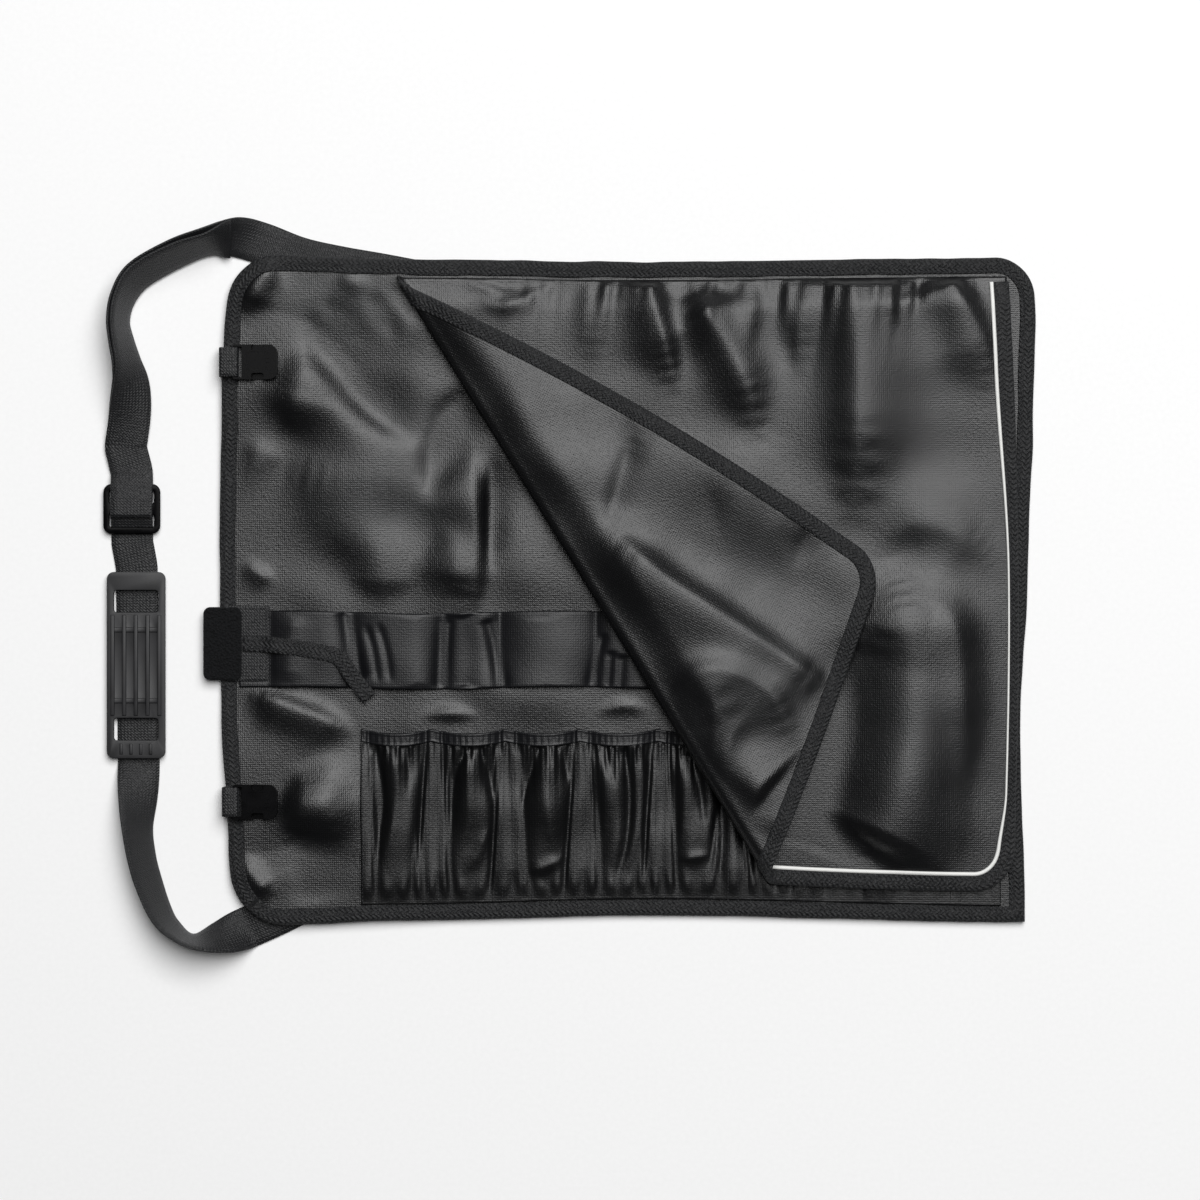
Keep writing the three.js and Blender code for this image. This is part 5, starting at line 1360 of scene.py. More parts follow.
@dataclass
class CoverFlap:
    """The cover flap: hung from the roll's upper edge, laid over the pockets, and folded back on itself."""

    finishes: Finishes
    band: KnifeBand
    pockets: PocketRow
    corners: Rounding = Rounding(22, 28, 0, 0)
    root_left: float = 0.2203
    root_right: float = 0.9711
    bottom_left: Point = (0.2609, 0.122)
    bottom_right: Point = (0.9785, 0.0542)
    left_bow: float = 10.0
    right_bow: float = 6.0
    bottom_bow: float = 8.0
    fold_start: Point = (128.5, 461.5)
    fold_end: Point = (393.7, 31.7)
    radius_top: float = 5.0
    radius_bottom: float = 8.0
    separation: float = 7.0
    settling: float = 230.0
    plateau: float = 10.0
    edge_height: float = 8.2
    root_slope: float = 25.0
    plateau_down: Point = (20.0, 150.0)
    plateau_in: Point = (28.0, 75.0)
    columns: int = 206
    rows: int = 208
    gathering: float = 0.42
    turn_down: float = 0.42
    section: TapeSection = TapeSection(PLAN.binding, PLAN.flap, 0.2, 0.9, 1.4)
    piping_radius: float = 1.45
    piping_start: float = 14.0
    tape_top: float = 0.75
    stitch: Stitch = Stitch()

    def __post_init__(self) -> None:
        """Measure what the flap lies on."""
        self.bridged = Bridged(self.covered, (40.0, -12.0), (600.0, 490.0))

    def on_cut(self, a: Grid, b: Grid) -> tuple[Grid, Grid]:
        """Take shares of the flap's sides to a place on it when it is laid flat."""
        width = (self.bottom_right[0] - self.bottom_left[0]) * PLAN.width
        depth = (1 - self.bottom_left[1]) * PLAN.depth
        x, y = self.corners.squeeze(a * width, b * depth, width, depth, 0.0)
        a, b = x / width, y / depth
        bulge = np.sin(math.pi * b)
        left = blend(self.bottom_left[0], self.root_left, b) * PLAN.width - self.left_bow * bulge
        right = blend(self.bottom_right[0], self.root_right, b) * PLAN.width + self.right_bow * bulge
        x = blend(left, right, a)
        bottom = blend(self.bottom_left[1], self.bottom_right[1], a) * PLAN.depth
        bottom = bottom - self.bottom_bow * np.sin(math.pi * a)
        return x, blend(bottom, PLAN.top(x) - PLAN.binding - PLAN.clearance, b)

    def covered(self, x: Grid, y: Grid) -> Grid:
        """Give the height of whatever lies under the flap."""
        height = PLAN.panel_top(x, y)
        band_low = PLAN.band_top - PLAN.band_width
        on_band = (y > band_low) & (y < PLAN.band_top) & (x < PLAN.row_end * PLAN.width)
        height = np.where(on_band, self.band.top(x, y), height)
        hem_top = PLAN.hem_bottom + PLAN.hem_width
        on_pockets = (y < hem_top) & (y > self.pockets.floor(x)) & (x < PLAN.row_end * PLAN.width)
        clipped = np.minimum(y, PLAN.hem_bottom)
        return np.where(on_pockets, self.pockets.top(x, clipped, 2.6), height)

    def floor(self, x: Grid, y: Grid) -> Grid:
        """Give the height of the underside of the flap's lower layer."""
        from_root = PLAN.top(x) - PLAN.binding - y
        right = blend(self.bottom_right[0], self.root_right, y / PLAN.depth) * PLAN.width
        near_bottom = 1 - smooth(28, 80, y - self.bottom_right[1] * PLAN.depth)
        root = PLAN.edge_level + PLAN.panel + PLAN.clearance
        level = root + PLAN.lift(x, y) + (self.edge_height - root) * smooth(0, self.root_slope, from_root)
        on_plateau = smooth(*self.plateau_down, from_root) * smooth(*self.plateau_in, right - x)
        level = level + (self.plateau - self.edge_height) * on_plateau * (1 - 0.4 * near_bottom)
        free = smooth(0, 8, from_root) * blend(0.3, 1.0, smooth(0, 45, right - x))
        level = level + (folds_at(FLAP_FOLDS, x, y) + FLAP_RIPPLES.raise_at(x, y)) * free
        level = level + self.gathers(x, from_root)
        return soft_max(level, self.bridged.at(x, y) + 0.4, 4.0)

    def gathers(self, x: Grid, from_root: Grid) -> Grid:
        """Give the heights of the small pleats where the flap is gathered into its root seam."""
        chance = np.random.default_rng(8)
        total = np.zeros(np.shape(x))
        for _ in range(6):
            length = chance.uniform(9, 26)
            total = total + np.sin(2 * math.pi * (x + 0.12 * from_root) / length + chance.uniform(0, 6.3))
        reach = 17.0 + 9.0 * np.sin(x / 31.0) + 5.0 * np.sin(x / 11.0 + 1.0)
        fading = smooth(0, 5, from_root) * np.exp(-((from_root / reach) ** 1.4)) * smooth(150, 300, x)
        return self.gathering * total * fading

    def fold_run(self) -> tuple[float, float, float]:
        """Give the fold's length and the two parts of the way that it runs."""
        (ax, ay), (bx, by) = self.fold_start, self.fold_end
        length = math.dist(self.fold_start, self.fold_end)
        return length, (bx - ax) / length, (by - ay) / length

    def bend_at(self, x: Grid, y: Grid) -> tuple[Grid, Grid, Grid]:
        """Give a flat point's distance along the fold, its distance from it, and the fold's radius there."""
        (ax, ay), (length, wx, wy) = self.fold_start, self.fold_run()
        along = (x - ax) * wx + (y - ay) * wy
        off = (x - ax) * -wy + (y - ay) * wx
        return along, off, blend(self.radius_top, self.radius_bottom, np.clip(along / length, 0, 1))

    def folded(self, x: Grid, y: Grid, height: Grid) -> Grid:
        """Take points of the flat flap to their places on the folded one.

        Args:
            x: Flat places along.
            y: Flat places up.
            height: How far the points lie above the flat flap's underside.

        Returns:
            The places, with three lengths in the last axis.
        """
        along, off, radius = self.bend_at(x, y)
        (ax, ay), (_, wx, wy) = self.fold_start, self.fold_run()
        quarter = math.pi * radius / 2
        beyond = np.maximum(0, np.abs(off) - quarter)
        angle = np.clip(off / radius, -math.pi / 2, math.pi / 2)
        outward = height - PLAN.flap / 2
        middle = radius - radius * np.cos(angle) + beyond
        reach = radius - (radius - outward) * np.cos(angle) + beyond
        mid_x, mid_y = ax + wx * along - wy * middle, ay + wy * along + wx * middle
        level = self.floor(mid_x, mid_y) + PLAN.flap / 2
        settled = blend(2 * radius, self.separation, np.minimum(1, beyond / self.settling))
        relief = folds_at(LINING_FOLDS, mid_x, mid_y) + LINING_RIPPLES.raise_at(mid_x, mid_y)
        stretched = self.level_lining(mid_x, mid_y)
        over = np.where(off > 0, 0.0, 1 - (1 - np.clip(beyond / 26, 0, 1)) ** 2)
        z_under = level + radius - (radius - outward) * np.sin(angle)
        z_over = level + soft_max(settled + over * (relief + stretched), 2.6 + 0 * x, 3.0) - outward
        z = np.where(off > -quarter, z_under, z_over)
        return np.stack([ax + wx * along - wy * reach, ay + wy * along + wx * reach, z], axis=-1)

    @staticmethod
    def level_lining(x: Grid, y: Grid) -> Grid:
        """Take the lower layer's own folds out of the folded part, which bridges them."""
        return -0.55 * folds_at(FLAP_FOLDS, x, y)

    def build(self) -> None:
        """Build the flap, the tape and piping round its free edge, and their stitches."""
        a, b = even_net(self.columns, self.rows)
        x, y = self.on_cut(a, b)
        upper = self.folded(x, y, np.full(np.shape(x), PLAN.flap))
        lower = self.folded(x, y, np.zeros(np.shape(x)))
        marks = np.stack([x, y], axis=-1)
        flap = two_faced("flap_cloth", upper, lower, marks)
        self.finishes.put(flap, LINING_CLOTH, "canvas")
        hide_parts("cover_flap")
        pieces = self.edge()

    def edge(self) -> list[bpy.types.Object]:
        """Fold tape over the free edge, and lay the pale piping along it on the outer face.

        Returns:
            The tape, its stitches and the piping.
        """
        share = np.linspace(0, 1, 500, endpoint=False)
        sides = [(0 * share, 1 - share), (share, 0 * share), (0 * share + 1, share)]
        line = np.concatenate([np.stack(self.on_cut(p, q), axis=-1) for p, q in sides])
        line = spread(line, 2.6)[2:-1]
        ways = ways_in(line, False) * self.turned(line)[:, None]
        rings = [self.beside(line, ways, inward, height) for inward, height in self.section.points()]
        tape = lofted("flap_tape", np.stack(rings, axis=1), False)
        self.finishes.put(tape, EDGE_TAPE, "twill")
        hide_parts("flap_binding")
        centre = self.section.width - self.section.out + self.piping_radius * 0.8
        angles = np.arange(12) * math.pi / 6
        # the cord begins below the point of the fold, where it would stand out
        kept = (line[:, 1] < self.fold_start[1] - self.piping_start) | (line[:, 0] > PLAN.width / 2)
        line, ways = line[kept], ways[kept]
        cord = [
            self.beside(line, ways, centre + self.piping_radius * math.cos(t),
                        PLAN.flap + self.tape_top + self.piping_radius * math.sin(t)) for t in angles
        ]
        piping = lofted("flap_piping_cord", np.stack(cord, axis=1), False)
        self.finishes.put(piping, WHITE_PIPING, "piping")
        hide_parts("flap_piping")
        seam_in = self.section.width - self.section.out - 2.0
        lines = []
        for height, sign in ((PLAN.flap + self.tape_top, 1.0), (-self.tape_top, -1.0)):
            sewn = self.beside(line, ways, seam_in, height)
            out = self.beside(line, ways, seam_in, height + sign) - sewn
            lines.append((sewn, out))
        thread = self.stitch.sew("flap_tape_stitches", lines)
        self.finishes.put(thread, SEWING_THREAD, "twill")
        return [tape, piping, thread]

    def turned(self, line: Grid) -> Grid:
        """Give how wide the tape looks from above along the edge, less than 1 where it is turned down."""
        right_side = self.bottom_right[0] * PLAN.width
        on_right = smooth(0.8 * right_side, right_side - 6, line[:, 0])
        low, high = smooth(46, 96, line[:, 1]), 1 - smooth(250, 400, line[:, 1])
        return 1 - self.turn_down * on_right * low * high

    def beside(self, line: Grid, ways: Grid, inward: float, height: float) -> Grid:
        """Give the line that runs beside the flap's edge, on the folded flap."""
        point = line + ways * inward
        return self.folded(point[:, 0], point[:, 1], np.full(len(point), float(height)))


# ---------------------------------------------------------------- the closure, the webbing and the strap


@dataclass
class Closure:
    """The hook-and-loop tab at the left edge, with the tie tape that is sewn under it."""

    finishes: Finishes
    tape_width: float = 11.5
    tape_thickness: float = 1.0

    def build(self) -> None:
        """Build the pad of loop pile, the base it is sewn to, and the tie tape."""
        pad = self.slab("loop_pad", "closure_pad", 0.9, 46, 84, 0.5)
        self.finishes.put(pad, LOOP_PILE, "loop_pile")
        base = self.slab("pad_base", "closure_base", 0.4, 40, 84, 0.12)
        self.finishes.put(base, NYLON_WEBBING, "webbing")
        tape = self.tie()
        self.finishes.put(tape, EDGE_TAPE, "twill")
        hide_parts("tie_tape")
        self.sewn_round()

    def slab(
        self, name: str, node: str, round_off: float, columns: int, rows: int, rough: float,
    ) -> bpy.types.Object:
        """Make a soft flat piece in a node's box, with rounded rims and an uneven face.

        Args:
            name: The piece's name.
            node: The node that it stands for.
            round_off: How far its rim is rounded down.
            columns: Steps along it.
            rows: Steps up it.
            rough: How uneven its upper face is.

        Returns:
            The piece.
        """
        low, high = node_box(node)
        width, depth = high[0] - low[0], high[1] - low[1]
        corner = 5.0 if node == "closure_pad" else 2.0
        a, b = even_net(columns, rows)
        x, y = Rounding(corner, corner, corner, corner).squeeze(a * width, b * depth, width, depth, 0.0)
        inside = np.minimum(np.minimum(a, 1 - a) * width, np.minimum(b, 1 - b) * depth)
        chance = np.random.default_rng(columns)
        tuft = chance.normal(0, 1, np.shape(x)) * rough * 0.35
        top = high[2] - round_off * (1 - np.clip(inside / 2.0, 0, 1)) ** 2 + tuft * np.clip(inside / 2.0, 0, 1)
        upper = np.stack([x + low[0], y + low[1], top], axis=-1)
        lower = np.stack([x + low[0], y + low[1], np.full(np.shape(x), low[2])], axis=-1)
        piece = two_faced(name, upper, lower, np.stack([x, y], axis=-1))
        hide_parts(node)
        return piece

    def tie(self) -> bpy.types.Object:
        """Lay the tie tape from the pad over the band, folded once towards its tail.

        Returns:
            The tape, as one strip.
        """
        low, high = node_box("tie_tape")
        over = high[2] - 1.4
        run = np.array([
            [16.6, 200.9, low[2] + 0.8, 0], [30, 200.2, low[2] + 1.0, 0], [40, 199.5, over - 0.4, 0],
            [58, 196.8, over, 2], [76, 193.8, over + 0.2, -3], [84, 191.2, over + 0.4, 0],
            [89, 186.5, over + 0.6, 2], [93.5, 179.5, over + 0.5, 0], [100, 171, over + 0.3, -3],
            [107.5, 161.5, over - 0.4, 0],
        ])
        rings = webbing_rings(rounded_path(run, 10), self.tape_width, self.tape_thickness)
        return lofted("tie_tape_strip", rings, False)

    def sewn_round(self) -> None:
        """Sew a line of stitches round the base beside the pad."""
        low, high = node_box("closure_base")
        inset = 1.8
        corners = np.array([[low[0] + 14, low[1] + inset], [high[0] - inset, low[1] + inset],
                            [high[0] - inset, high[1] - inset], [low[0] + 14, high[1] - inset]])
        line = spread(corners, 1.5)
        sewn = np.column_stack([line, np.full(len(line), high[2] + 0.05)])
        thread = Stitch(1.9, 2.6, 0.5).sew("pad_stitches", [facing_up(sewn)])
        self.finishes.put(thread, SEWING_THREAD, "webbing")


@dataclass(frozen=True)
class StrapStop:
    """A place of the strap's middle: shares of the panel's sides, its tilt, and the gap to a second layer."""

    x: float
    y: float
    tilt: float
    apart: float = 0.0


UPPER_RUN = tuple(StrapStop(*row) for row in (
    (-0.1169, 0.7154, 0, 2.2), (-0.112, 0.759, 12, 2.4), (-0.1108, 0.8042, 35, 2.6), (-0.1155, 0.84, 58, 3),
    (-0.1225, 0.875, 66, 3), (-0.1262, 0.905, 70, 3), (-0.12, 0.94, 66, 3), (-0.1, 0.975, 58, 3),
    (-0.0529, 1.009, 60, 4), (-0.0123, 1.028, 62, 5), (0.0185, 1.031, 24, 4), (0.0505, 1.022, 0, 2.5),
    (0.0972, 1, 0, 2.2), (0.1465, 0.9864, 0, 2.2), (0.1957, 0.9759, 0, 2.2), (0.24, 0.9655, 0, 2.2),
    (0.27, 0.957, 0, 2.2),
))
LOWER_RUN = tuple(StrapStop(*row) for row in (
    (-0.1009, 0.1988, 22), (-0.1009, 0.1461, 48), (-0.0955, 0.1, 54), (-0.0874, 0.0633, 56),
    (-0.0738, 0.02, 62), (-0.0591, -0.006, 70), (-0.0332, -0.0266, 76), (0.0037, -0.0211, 40),
    (0.0357, -0.0066, 0), (0.0726, 0.0136, 0), (0.1157, 0.0392, 0), (0.1465, 0.0572, 0),
))


@dataclass
class ShoulderStrap:
    """The strap of flat webbing, lying on the table beside the roll and doubled above its slider."""

    finishes: Finishes
    width: float = 30.0
    thickness: float = 1.8
    slider_place: Point = (-0.1089, 0.622)
    rubber_place: Point = (-0.1034, 0.387)
    slider_length: float = 36.0
    slider_thickness: float = 3.0
    bar: float = 5.0
    middle_bar: float = 8.0
    rubber_length: float = 134.0

    def run(self, stops: tuple[StrapStop, ...], doubled: bool) -> Grid:
        """Work out the places of one run of the strap on the table.

        Args:
            stops: The places that it passes.
            doubled: Whether this is the second layer.

        Returns:
            Rows of place along, place up, height and tilt.
        """
        table = np.array([[s.x * PLAN.width, s.y * PLAN.depth, s.tilt, s.apart] for s in stops])
        rows = rounded_path(table, 6)
        way = np.gradient(rows[:, :2], axis=0)
        way /= np.linalg.norm(way, axis=-1, keepdims=True)
        tilt = np.radians(rows[:, 2])
        off = rows[:, 3] if doubled else 0 * rows[:, 3]
        rest = self.width / 2 * np.sin(np.abs(tilt)) + self.thickness / 2 * np.cos(tilt)
        return np.column_stack([
            rows[:, 0] + way[:, 1] * off * np.sin(tilt),
            rows[:, 1] - way[:, 0] * off * np.sin(tilt),
            rest + off * np.cos(tilt),
            -rows[:, 2],
        ])

    def build(self) -> None:
        """Build the strap's two layers."""
        low = self.thickness / 2
        over = self.thickness + 2 * PLAN.clearance + self.slider_thickness + PLAN.clearance + low
        half, inner = self.slider_length / 2, self.slider_length / 2 - self.bar
        bar = self.middle_bar / 2
        sx, sy = self.slider_place[0] * PLAN.width, self.slider_place[1] * PLAN.depth
        rx, ry = self.rubber_place[0] * PLAN.width, self.rubber_place[1] * PLAN.depth
        through = [(-half - 6, low), (-inner + 1, low), (-bar - 0.5, over), (bar + 0.5, over), (inner - 1, low),
                   (half + 6, low)]
        end = self.rubber_length / 2 + 4
        passed = np.array([[sx, sy + y, z, 0] for y, z in reversed(through)])
        under = np.array([[rx, ry + end, low, 0], [rx + 1.5, ry - end, low, 0]])
        line = np.concatenate([self.run(UPPER_RUN, False)[::-1], self.eased(passed), under,
                               self.run(LOWER_RUN, False)])
        strap = lofted("strap_layer_long", webbing_rings(spread(line, 3.0), self.width, self.thickness), False)
        self.finishes.put(strap, NYLON_WEBBING, "webbing")
        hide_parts("strap_webbing")

        doubled = over + self.thickness + PLAN.clearance + 0.1
        start = [(-bar - 2, doubled), (bar + 1.5, doubled), (inner - 0.5, over), (half + 1, over),
                 (half + 9, self.thickness + low + PLAN.clearance + 0.1)]
        first = np.array([[sx, sy + y, z, 0] for y, z in start])
        second = np.concatenate([self.eased(first), self.run(UPPER_RUN, True)[:60]])[::-1]
        rings = webbing_rings(spread(second, 3.0), self.width, self.thickness)
        doubled_piece = lofted("strap_layer_return", rings, False)
        self.finishes.put(doubled_piece, NYLON_WEBBING, "webbing")
        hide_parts("strap_return")

    @staticmethod
    def eased(points: Grid) -> Grid:
        """Round the bends of a short path through a fitting, without passing its points."""
        middles = (points[:-1] + points[1:]) / 2
        return np.concatenate([points[:1], (points[:-1] * 0.3 + middles * 0.7)[1:], points[-1:]])


# ---------------------------------------------------------------- the hard fittings, shaped


class Workbench:
    """Blender's modelling operators, with the selection made in code."""

    @staticmethod
    def take(piece: bpy.types.Object) -> None:
        """Select one piece alone and make it the active one."""
        bpy.ops.object.select_all(action="DESELECT")
        piece.select_set(True)
        bpy.context.view_layer.objects.active = piece

    @staticmethod
    def block(name: str, low: Grid, high: Grid) -> bpy.types.Object:
        """Add a box between two corners in millimetres on the roll.

        Args:
            name: The piece's name.
            low: Its lowest corner.
            high: Its highest corner.

        Returns:
            The box, at the origin with its place in its mesh.
        """
        bpy.ops.object.select_all(action="DESELECT")
        start, end = np.array(low) / 1000 + SHIFT, np.array(high) / 1000 + SHIFT
        bpy.ops.mesh.primitive_cube_add(size=1, location=tuple((start + end) / 2))
        piece = bpy.context.object
        piece.name = piece.data.name = name
        piece.scale = tuple(end - start)
        bpy.ops.object.transform_apply(location=True, rotation=True, scale=True)
        return piece

    def bevel_edges(self, piece: bpy.types.Object, way: Vector, offset: float, segments: int,
                    place: Vector | None = None, reach: float = 0.0) -> None:
        """Bevel the edges that run one way.

        Args:
            piece: The piece.
            way: The way that the edges run.
            offset: The bevel's width, in millimetres.
            segments: How many faces round it.
            place: Where the edges are, or None for all.
            reach: How far from that place they may be, in millimetres.
        """
        self.take(piece)
        bpy.ops.object.mode_set(mode="EDIT")
        bpy.ops.mesh.select_mode(type="EDGE")
        bpy.ops.mesh.select_all(action="DESELECT")
        mesh = bmesh.from_edit_mesh(piece.data)
        for edge in mesh.edges:
            run = (edge.verts[1].co - edge.verts[0].co).normalized()
            middle = (edge.verts[1].co + edge.verts[0].co) / 2
            near = place is None or (middle - place).length < reach / 1000
            edge.select = abs(run.dot(way)) > 0.99 and near
        mesh.select_flush_mode()
        bmesh.update_edit_mesh(piece.data)
        bpy.ops.mesh.bevel(offset=offset / 1000, segments=segments, affect="EDGES", clamp_overlap=True)
        bpy.ops.object.mode_set(mode="OBJECT")

    def join(self, piece: bpy.types.Object, other: bpy.types.Object, how: str) -> None:
        """Cut one piece by another, or weld them, and drop the other.

        Args:
            piece: The piece that is kept.
            other: The tool.
            how: DIFFERENCE or UNION.
        """
        self.take(piece)
        change = piece.modifiers.new("join", "BOOLEAN")
        change.operation, change.object, change.solver = how, other, "EXACT"
        bpy.ops.object.modifier_apply(modifier=change.name)
        bpy.data.objects.remove(other, do_unlink=True)

    def soften(self, piece: bpy.types.Object, width: float, segments: int, angle: float = 32.0) -> None:
        """Round every sharp edge a little and shade the piece smooth between them.

        Args:
            piece: The piece.
            width: The rounding's width, in millimetres.
            segments: How many faces round it.
            angle: How sharp an edge must be, in degrees.
        """
        self.take(piece)
        change = piece.modifiers.new("soften", "BEVEL")
        change.width, change.segments = width / 1000, segments
        change.limit_method, change.angle_limit = "ANGLE", math.radians(angle)
        change.use_clamp_overlap = True
        bpy.ops.object.modifier_apply(modifier=change.name)
        bpy.ops.object.shade_smooth_by_angle(angle=math.radians(angle))

    def carve(
        self, body: bpy.types.Object, low: list[float], high: list[float], rounding: float = 0.0,
        segments: int = 3, how: str = "DIFFERENCE",
    ) -> None:
        """Cut a block out of a body, or join it on.

        Args:
            body: The body that changes.
            low: The block's lowest corner.
            high: Its highest corner.
            rounding: Radius of its upright edges.
            segments: Steps of that rounding.
            how: What the block does to the body.
        """
        block = self.block("tool", low, high)
        if rounding:
            self.bevel_edges(block, Z_WAY, rounding, segments)
        self.join(body, block, how)


Z_WAY = Vector((0, 0, 1))


@dataclass
class Buckle:
    """Half of a side-release buckle on a loop of webbing that comes from under the roll's left edge."""

    finishes: Finishes
    bench: Workbench
    name: str
    loop_width: float = 21.0
    loop_thickness: float = 1.2
    wall: float = 1.6
    bar: float = 2.6
    recess_half: float = 7.2
    recess_depth: float = 0.5
    mouth_half: float = 9.4
    window_depth: float = 4.4

    def build(self) -> None:
        """Build the buckle's body and its loop of webbing."""
        low, high = node_box(f"buckle_{self.name}")
        self.body(low, high)
        self.loop(low, high)

    def body(self, low: Grid, high: Grid) -> None:
        """Shape the moulded body, with its bar, its mouth and its two side windows.

        Args:
            low: The body's lowest corner.
            high: Its highest corner.
        """
        bench = self.bench
        middle = (low[1] + high[1]) / 2
        body = bench.block(f"buckle_body_{self.name}", low, high)
        for end, width, segments in ((high[0], 6.0, 4), (low[0], 2.0, 3)):
            place = Vector(tuple(np.array([end, middle, (low[2] + high[2]) / 2]) / 1000 + SHIFT))
            bench.bevel_edges(body, Z_WAY, width, segments, place, 14.0)
        bench.carve(body, [low[0] + 10, middle - self.recess_half, high[2] - self.recess_depth],
                    [high[0] - 5.5, middle + self.recess_half, high[2] + 1], 2.4, 4)
        bench.carve(body, [low[0] + 9, middle - self.mouth_half, low[2] + self.wall],
                    [high[0] + 1, middle + self.mouth_half, high[2] - self.wall - self.recess_depth])
        for way in (-1, 1):
            edge = middle + way * (high[1] - low[1]) / 2
            inner = edge - way * self.window_depth
            bench.carve(body, [low[0] + 13.5, min(edge, inner), low[2] + self.wall],
                        [low[0] + 22.5, max(edge, inner) + 0.2, high[2] + 1], 1.6)
        half = self.loop_width / 2 + 0.4
        bench.carve(body, [low[0] + self.bar, middle - half, low[2] - 1],
                    [low[0] + self.bar + 4, middle + half, high[2] + 1])
        for floor, roof in ((low[2] - 1, low[2] + 1.5), (high[2] - 1.8, high[2] + 1)):
            bench.carve(body, [low[0] - 1, middle - half, floor], [low[0] + 4, middle + half, roof])
        for share in (0.36, 0.5, 0.64):
            ridge_y = middle + (share - 0.5) * 22
            bench.carve(body, [high[0] - 8.5, ridge_y - 0.7, high[2] - 1.2],
                        [high[0] - 4.5, ridge_y + 0.7, high[2] + 0.1], how="UNION")
        bench.soften(body, 0.45, 3)
        self.finishes.put(body, ACETAL, "acetal")
        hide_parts(f"buckle_{self.name}")

    def loop(self, low: Grid, high: Grid) -> None:
        """Lay the webbing from under the panel, over its edge and round the buckle's bar.

        Args:
            low: The body's lowest corner.
            high: Its highest corner.
        """
        thick = self.loop_thickness
        node_low, node_high = node_box(f"webbing_loop_{self.name}")
        edge = node_low[0] + thick / 2
        middle = (low[1] + high[1]) / 2
        under = low[2] + thick / 2
        over = high[2] - 0.3 - thick / 2
        drop = low[0] + self.bar + 0.3 + thick / 2
        rows = [
            (node_high[0] - 2, thick / 2 + 0.1), (edge + 6, thick / 2 + 0.1), (edge + 0.6, thick / 2 + 0.7),
            (edge, 2.6), (edge, over - 2.4), (edge + 0.7, over - 0.5), (edge + 2.6, over), (drop - 1.6, over),
            (drop - 0.3, over - 0.5), (drop, over - 1.8), (drop, under + 1.2), (drop - 0.6, under + 0.2),
            (drop - 2.0, under), (edge + thick + 1.4, under),
        ]
        path = np.array([[x, middle, z, 0] for x, z in rows])
        rings = webbing_rings(rounded_path(path, 4), self.loop_width, thick, np.array([0.0, 1.0, 0.0]))
        loop = lofted(f"buckle_loop_{self.name}", rings, False)
        self.finishes.put(loop, NYLON_WEBBING, "webbing")
        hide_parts(f"webbing_loop_{self.name}")


@dataclass
class StrapFittings:
    """The strap's moulded slider and its ribbed rubber pad."""

    finishes: Finishes
    bench: Workbench
    bar: float = 5.0
    middle_bar: float = 8.0
    slot_width: float = 32.0
    rib_shares: tuple[float, ...] = (-0.4, -0.2, 0.0, 0.2, 0.4)
    rooted: float = 0.6

    def build(self) -> None:
        """Build both fittings."""
        self.slider()
        self.pad()

    def slider(self) -> None:
        """Shape the slider: a flat frame with rounded corners and two slots."""
        low, high = node_box("strap_slider")
        middle_x, middle_y = (low[0] + high[0]) / 2, (low[1] + high[1]) / 2
        frame_piece = self.bench.block("slider_frame", low, high)
        self.bench.bevel_edges(frame_piece, Z_WAY, 6.0, 5)
        reach = (high[1] - low[1]) / 2 - self.bar
        for way in (-1, 1):
            ends = sorted((way * self.middle_bar / 2, way * reach))
            self.bench.carve(frame_piece, [middle_x - self.slot_width / 2, middle_y + ends[0], low[2] - 1],
                             [middle_x + self.slot_width / 2, middle_y + ends[1], high[2] + 1], 1.2)
        self.bench.soften(frame_piece, 0.9, 4)
        self.finishes.put(frame_piece, ACETAL, "acetal")
        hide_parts("strap_slider")

    def pad(self) -> None:
        """Shape the rubber pad: its body, the two slots for the strap, the ribs and the cross bars."""
        low, high = node_box("shoulder_pad")
        top = high[2] - 1.4
        middle_x, middle_y = (low[0] + high[0]) / 2, (low[1] + high[1]) / 2
        width, half = high[0] - low[0], (high[1] - low[1]) / 2
        pad = self.bench.block("rubber_pad", low, [high[0], high[1], top])
        self.bench.bevel_edges(pad, Z_WAY, 5.0, 5)
        for way in (-1, 1):
            ends = sorted((way * (half - 13), way * (half - 29)))
            self.bench.carve(pad, [middle_x - self.slot_width / 2, middle_y + ends[0], low[2] - 1],
                             [middle_x + self.slot_width / 2, middle_y + ends[1], top + 1], 2.0)
        for share in self.rib_shares:
            rib_x = middle_x + share * width
            self.bench.carve(pad, [rib_x - 1.3, middle_y - half + 31, top - self.rooted],
                             [rib_x + 1.3, middle_y + half - 31, top + 1.3], how="UNION")
        for place in (-0.19, 0.19):
            bar_y = middle_y + place * half * 2
            self.bench.carve(pad, [middle_x - 0.43 * width, bar_y - 1.6, top - self.rooted],
                             [middle_x + 0.43 * width, bar_y + 1.6, top + 1.0], how="UNION")
        for number in range(4):
            tab_x = middle_x + (number - 1.5) * 7
            self.bench.carve(pad, [tab_x - 1.0, middle_y - half + 3, top - self.rooted],
                             [tab_x + 1.0, middle_y - half + 10.5, top + 0.7], how="UNION")
        self.bench.soften(pad, 0.55, 3)
        self.finishes.put(pad, RUBBER, "rubber")
        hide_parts("shoulder_pad")


# ---------------------------------------------------------------- the studio


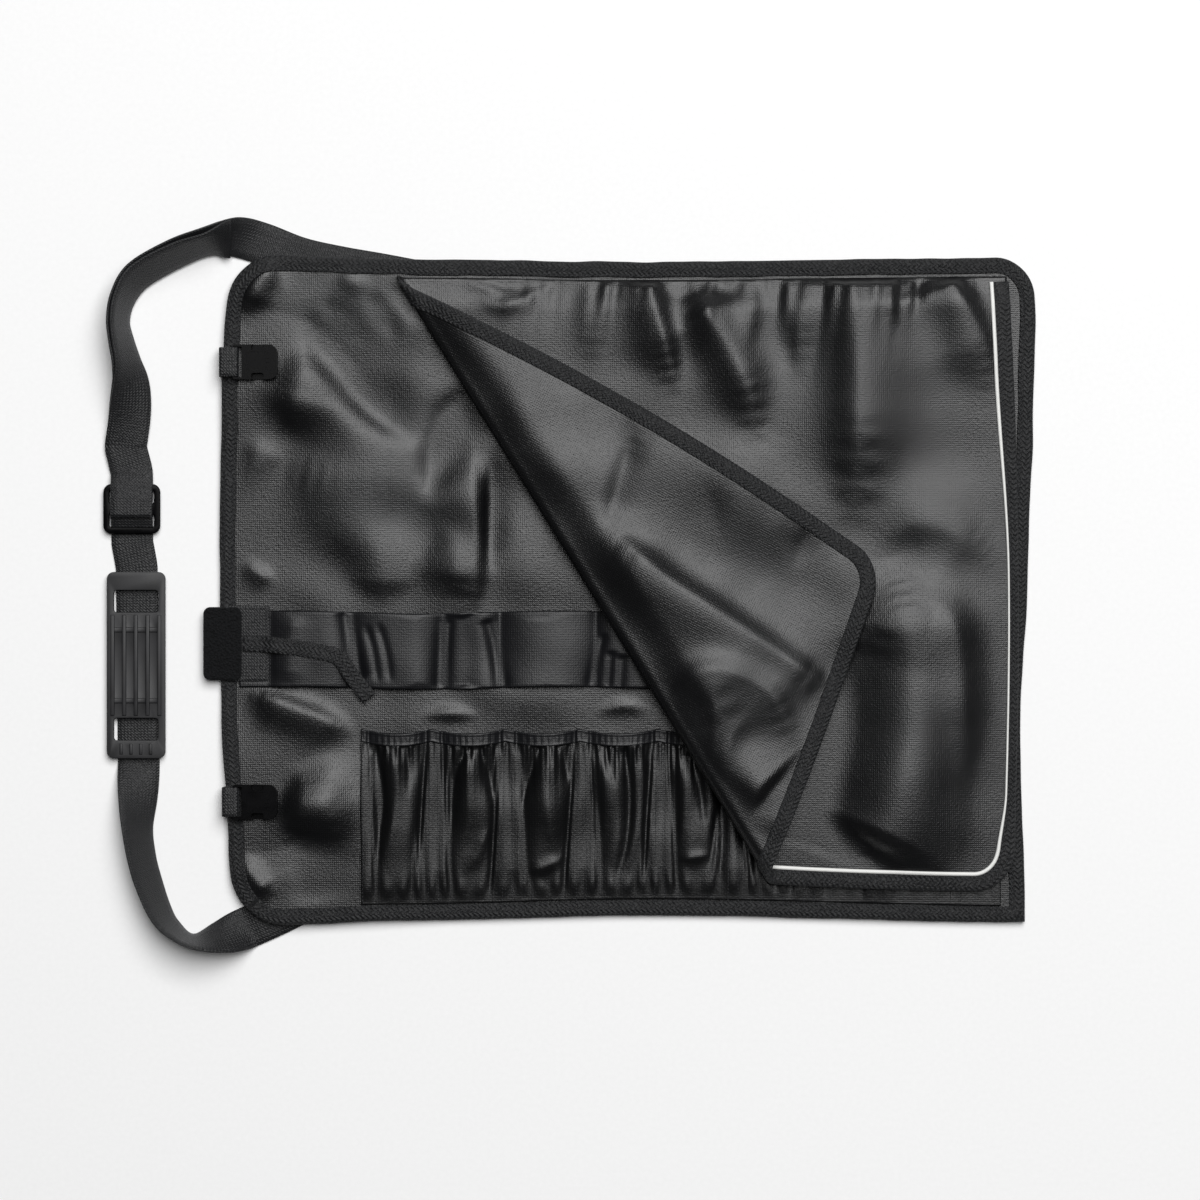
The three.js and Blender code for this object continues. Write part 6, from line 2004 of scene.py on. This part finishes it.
@dataclass(frozen=True)
class SoftBox:
    """A soft rectangular studio light."""

    name: str
    place: tuple[float, float, float]
    size: Point
    power: float
    colour: str = "#ffffff"

    def hang(self, target: Vector) -> None:
        """Hang the light so that it looks at a point."""
        data = bpy.data.lights.new(self.name, "AREA")
        data.shape, data.size, data.size_y = "RECTANGLE", self.size[0], self.size[1]
        data.energy = self.power
        data.color = linear(self.colour)[:3]
        lamp = bpy.data.objects.new(self.name, data)
        bpy.context.scene.collection.objects.link(lamp)
        lamp.location = self.place
        lamp.rotation_euler = (target - lamp.location).to_track_quat("-Z", "Y").to_euler()


@dataclass
class Studio:
    """The pale table, the camera straight above, and the soft light."""

    view_width: float = 0.864
    centre: Point = (0.0220, -0.0110)
    height: float = 3.0
    sensor: float = 36.0
    table_size: float = 8.0
    lights: tuple[SoftBox, ...] = (
        SoftBox("key_light", (0.99, 2.44, 5.39), (4.6, 5.2), 470.0),
    )
    ambient: float = 0.05

    def build(self) -> None:
        """Build the table, the camera and the light."""
        self.table()
        self.camera()
        for light in self.lights:
            light.hang(Vector((self.centre[0], self.centre[1], 0.0)))
        world = bpy.context.scene.world or bpy.data.worlds.new("studio")
        bpy.context.scene.world = world
        world.use_nodes = True
        background = world.node_tree.nodes.get("Background")
        background.inputs["Color"].default_value = linear("#ffffff")
        background.inputs["Strength"].default_value = self.ambient
        view = bpy.context.scene.view_settings
        view.view_transform, view.look, view.exposure = "Standard", "None", 0.0

    def table(self) -> None:
        """Lay the table top, just under the roll."""
        bpy.ops.object.select_all(action="DESELECT")
        level = CAD_BOX[0][2] - 0.0002
        bpy.ops.mesh.primitive_plane_add(size=self.table_size, location=(0, 0, level))
        table = bpy.context.object
        table.name = "table"
        made = bpy.data.materials.new("matt_white_paper")
        made.use_nodes = True
        tree = made.node_tree
        tree.nodes.clear()
        place = add_node(tree, "TexCoord").outputs["Object"]
        fibre = add_node(tree, "TexNoise", {"Scale": 300.0, "Detail": 3.0}, Vector=place)
        tone = add_node(tree, "Mix", {"data_type": "RGBA", 6: linear("#f4f4f4"), 7: linear("#fafafa")},
                        in0=fibre.outputs["Fac"])
        shader = add_node(tree, "BsdfPrincipled", {"Roughness": 0.9, "Specular IOR Level": 0.2},
                          Base_Color=tone.outputs[2])
        add_node(tree, "OutputMaterial", None, Surface=shader.outputs[0])
        table.data.materials.append(made)

    def camera(self) -> None:
        """Set the camera straight above, as the photograph was taken."""
        data = bpy.data.cameras.new("overhead_camera")
        data.sensor_width = self.sensor
        data.lens = self.sensor * self.height / self.view_width
        data.clip_start, data.clip_end = 0.05, 20.0
        eye = bpy.data.objects.new("overhead_camera", data)
        bpy.context.scene.collection.objects.link(eye)
        eye.location = (self.centre[0], self.centre[1], self.height)
        bpy.context.scene.camera = eye


def main() -> None:
    """Build the studio, then the roll piece by piece."""
    logging.basicConfig(level=logging.INFO, format="%(message)s", stream=sys.stdout)
    Studio().build()
    finishes, bench = Finishes(), Workbench()
    BackPanel(finishes).build()
    band = KnifeBand(finishes)
    band.build()
    pockets = PocketRow(finishes)
    pockets.build()
    CoverFlap(finishes, band, pockets).build()
    Closure(finishes).build()
    for name in ("upper", "lower"):
        Buckle(finishes, bench, name).build()
    ShoulderStrap(finishes).build()
    StrapFittings(finishes, bench).build()


if __name__ == "__main__":
    main()
